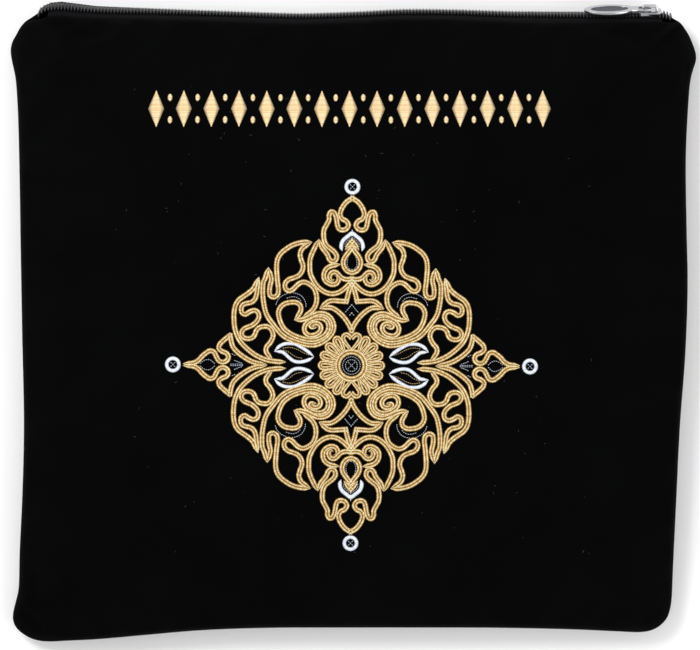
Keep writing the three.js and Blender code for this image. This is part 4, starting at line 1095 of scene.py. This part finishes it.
def coil():
    """Turns of the coil, one from each tape in turn, each a bent rod over the zip's middle."""
    turn_faces, turn_points, start = [], [], 0
    path = np.array(COIL_PATH) * MM
    for x0 in np.arange(zip_ends[0] + COIL_PITCH / 2, zip_ends[1] - COIL_PITCH / 2, COIL_PITCH):
        for side, shift in ((1, 0), (-1, COIL_PITCH / 2)):
            parted = COIL_PARTING if x0 > zip_ends[1] - SLIDER_FROM_END + PARTED_FROM_SLIDER else 0
            run = np.linspace(-COIL_SKEW, COIL_SKEW, len(path))
            middle = np.stack([x0 + shift + run, side * (path[:, 0] + parted), path[:, 1]], axis=1)
            ahead = np.gradient(middle, axis=0)
            ahead /= np.linalg.norm(ahead, axis=1, keepdims=True)
            beside = np.cross(ahead, [1, 0, 0])
            beside /= np.linalg.norm(beside, axis=1, keepdims=True)
            above = np.cross(beside, ahead)
            turns = 2 * math.pi * np.arange(COIL_SIDES) / COIL_SIDES
            wide, tall = np.cos(turns)[None, :, None], COIL_FLATNESS * np.sin(turns)[None, :, None]
            ring = middle[:, None] + COIL_WIRE * (wide * beside[:, None] + tall * above[:, None])
            world = zip_point(ring[..., 0], ring[..., 1], ring[..., 2])
            turn_points.append(world.reshape(-1, 3))
            index = np.arange(len(path) * COIL_SIDES).reshape(len(path), COIL_SIDES) + start
            turn_faces.append(joined(index[:-1], index[1:]))
            first, last = index[0], index[-1]
            ends = [first[:4], first[[0, 3, 4, 5]], last[[3, 2, 1, 0]], last[[5, 4, 3, 0]]]
            turn_faces.append(np.array(ends))
            start += index.size
    made = piece("coil_turns", np.vstack(turn_points), np.vstack(turn_faces), COIL,
                 stands_for=("zip_coil", "coil_end_front", "coil_end_back"))
    form = bmesh.new()
    form.from_mesh(made.data)
    bmesh.ops.recalc_face_normals(form, faces=form.faces)
    form.to_mesh(made.data)
    form.free()


coil()


for tape in ("zip_tape_front", "zip_tape_back"):
    tape_mesh = frame["nodes"][tape].data
    tape_mesh.materials.clear()
    tape_mesh.materials.append(TAPE)


def cast(name, node, body, rounding):
    """A plated casting: the shape of a CAD node with its edges rounded."""
    source = frame["nodes"][node]
    shape = bmesh.new()
    shape.from_mesh(source.data)
    bmesh.ops.remove_doubles(shape, verts=shape.verts, dist=CAST_WELD)
    bmesh.ops.dissolve_limit(shape, angle_limit=math.radians(1), verts=shape.verts, edges=shape.edges)
    mesh = bpy.data.meshes.new(name)
    shape.to_mesh(mesh)
    shape.free()
    mesh.transform(source.matrix_world)
    made = placed(name, mesh)
    edge = made.modifiers.new("edges", "BEVEL")
    edge.width = rounding
    edge.segments = 3
    edge.limit_method = "ANGLE"
    edge.angle_limit = math.radians(35)
    settle(made)
    made.data.polygons.foreach_set("use_smooth", np.ones(len(made.data.polygons), bool))
    made.data.materials.clear()
    made.data.materials.append(CHROME)
    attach(made, body)
    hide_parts(node)


cast("slider_casting", "zip_slider", "bag", 0.2 * MM)
cast("pull_casting", "zip_pull", "pull", 0.25 * MM)


def pull_inlays():
    """Dark ovals in the sunk faces of the pull."""
    joint = next(j for j in frame["joints"] if j["name"] == "pull_swing")
    pivot, axis = np.array(joint["pos_m"]), np.array(joint["axis"])
    points = np.array([v.co for v in frame["nodes"]["zip_pull"].data.vertices])
    along = points.mean(axis=0) - pivot
    along -= axis * along.dot(axis)
    along /= np.linalg.norm(along)
    out = np.cross(along, axis)
    far = ((points - pivot) @ along).max()
    middle = pivot + along * (far - PULL_LENGTH / 2)
    half_length = PULL_LENGTH / 2 - PULL_RIM * 1.6
    half_breadth = PULL_WIDTH / 2 - PULL_RIM / 2 - INLAY_GAP
    for name, side in (("pull_inlay_outer", 1), ("pull_inlay_inner", -1)):
        rings, turns = 6, np.linspace(0, 2 * math.pi, 48, endpoint=False)
        rows = []
        for k in range(rings + 1):
            share = k / rings
            lift = side * (PULL_THICKNESS / 2 - INLAY_SINK - INLAY_CROWN * (1 - share**2))
            rows.append(
                middle + out * lift
                + np.outer(np.cos(turns), along) * half_length * share * INLAY_FIT
                + np.outer(np.sin(turns), axis) * half_breadth * share * INLAY_FIT
            )
        index = np.arange(len(turns) * (rings + 1)).reshape(rings + 1, len(turns))
        quads = joined(index[:-1], index[1:])[:, :: 1 if side < 0 else -1]
        piece(name, np.vstack(rows), quads, GUNMETAL, body="pull")


pull_inlays()


def lint():
    """Short bent fibres scattered on the pile."""
    fibres = Stitching()
    for _ in range(LINT_FIBRES):
        x, y = bag_middle + chance.uniform(-1, 1, 2) * LINT_REACH
        turn, length = chance.uniform(0, 2 * math.pi), chance.uniform(*LINT_LENGTHS)
        bend = chance.uniform(-LINT_BEND, LINT_BEND)
        t = np.linspace(0, 1, 5)
        line = np.stack([
            x + length * t * np.cos(turn + bend * t), y + length * t * np.sin(turn + bend * t)
        ], axis=1)
        stroke(fibres, line, LINT_SECTION, LINT_WIDTH, LINT_HEIGHT)
    fibres.make("lint_fibres", LINT, "velvet")


lint()


# Floor, light and camera

def floor():
    mesh = bpy.data.meshes.new("floor")
    ways = ((-1, -1), (1, -1), (1, 1), (-1, 1))
    mesh.from_pydata([(x * FLOOR_REACH, y * FLOOR_REACH, -FLOOR_DROP) for x, y in ways], [], [(0, 1, 2, 3)])
    material, *_ = plain("pale_floor", (0.9, 0.9, 0.9), 0.7)
    mesh.materials.append(material)
    made = placed("floor", mesh)


def lamp(name, place, size, power):
    """A round lamp that points at the middle of the bag."""
    light = bpy.data.lights.new(name, "AREA")
    light.shape = "DISK"
    light.size = size
    light.energy = power
    made = placed(name, light)
    made.location = place
    made.rotation_euler = (-Vector(place)).to_track_quat("-Z", "Y").to_euler()


def studio():
    """The pale floor, the light and the camera over the bag's middle, as in the photograph."""
    floor()
    world = bpy.data.worlds.new("studio")
    world.use_nodes = True
    background = world.node_tree.nodes["Background"]
    background.inputs["Color"].default_value = (1, 1, 1, 1)
    background.inputs["Strength"].default_value = SKY_LIGHT
    bpy.context.scene.world = world
    lamp("key", (-0.9, 0.9, 1.5), 0.8, 22)
    lamp("fill", (1.2, -0.6, 1.3), 1.2, 9)
    scene = bpy.context.scene
    scene.view_settings.view_transform = "Standard"
    lens = bpy.data.cameras.new("camera")
    lens.sensor_width = SENSOR_WIDTH
    field = PHOTO_WIDTH * MM_PER_PIXEL * MM
    lens.lens = SENSOR_WIDTH * (CAMERA_HEIGHT - SEAM_LIFT) / field
    camera = placed("camera", lens)
    camera.location = (
        bag_middle[0] + (PHOTO_MIDDLE_PIXEL[0] - BAG_MIDDLE_PIXEL[0]) * MM_PER_PIXEL * MM,
        bag_middle[1] + (BAG_MIDDLE_PIXEL[1] - PHOTO_MIDDLE_PIXEL[1]) * MM_PER_PIXEL * MM,
        CAMERA_HEIGHT,
    )
    scene.camera = camera


studio()
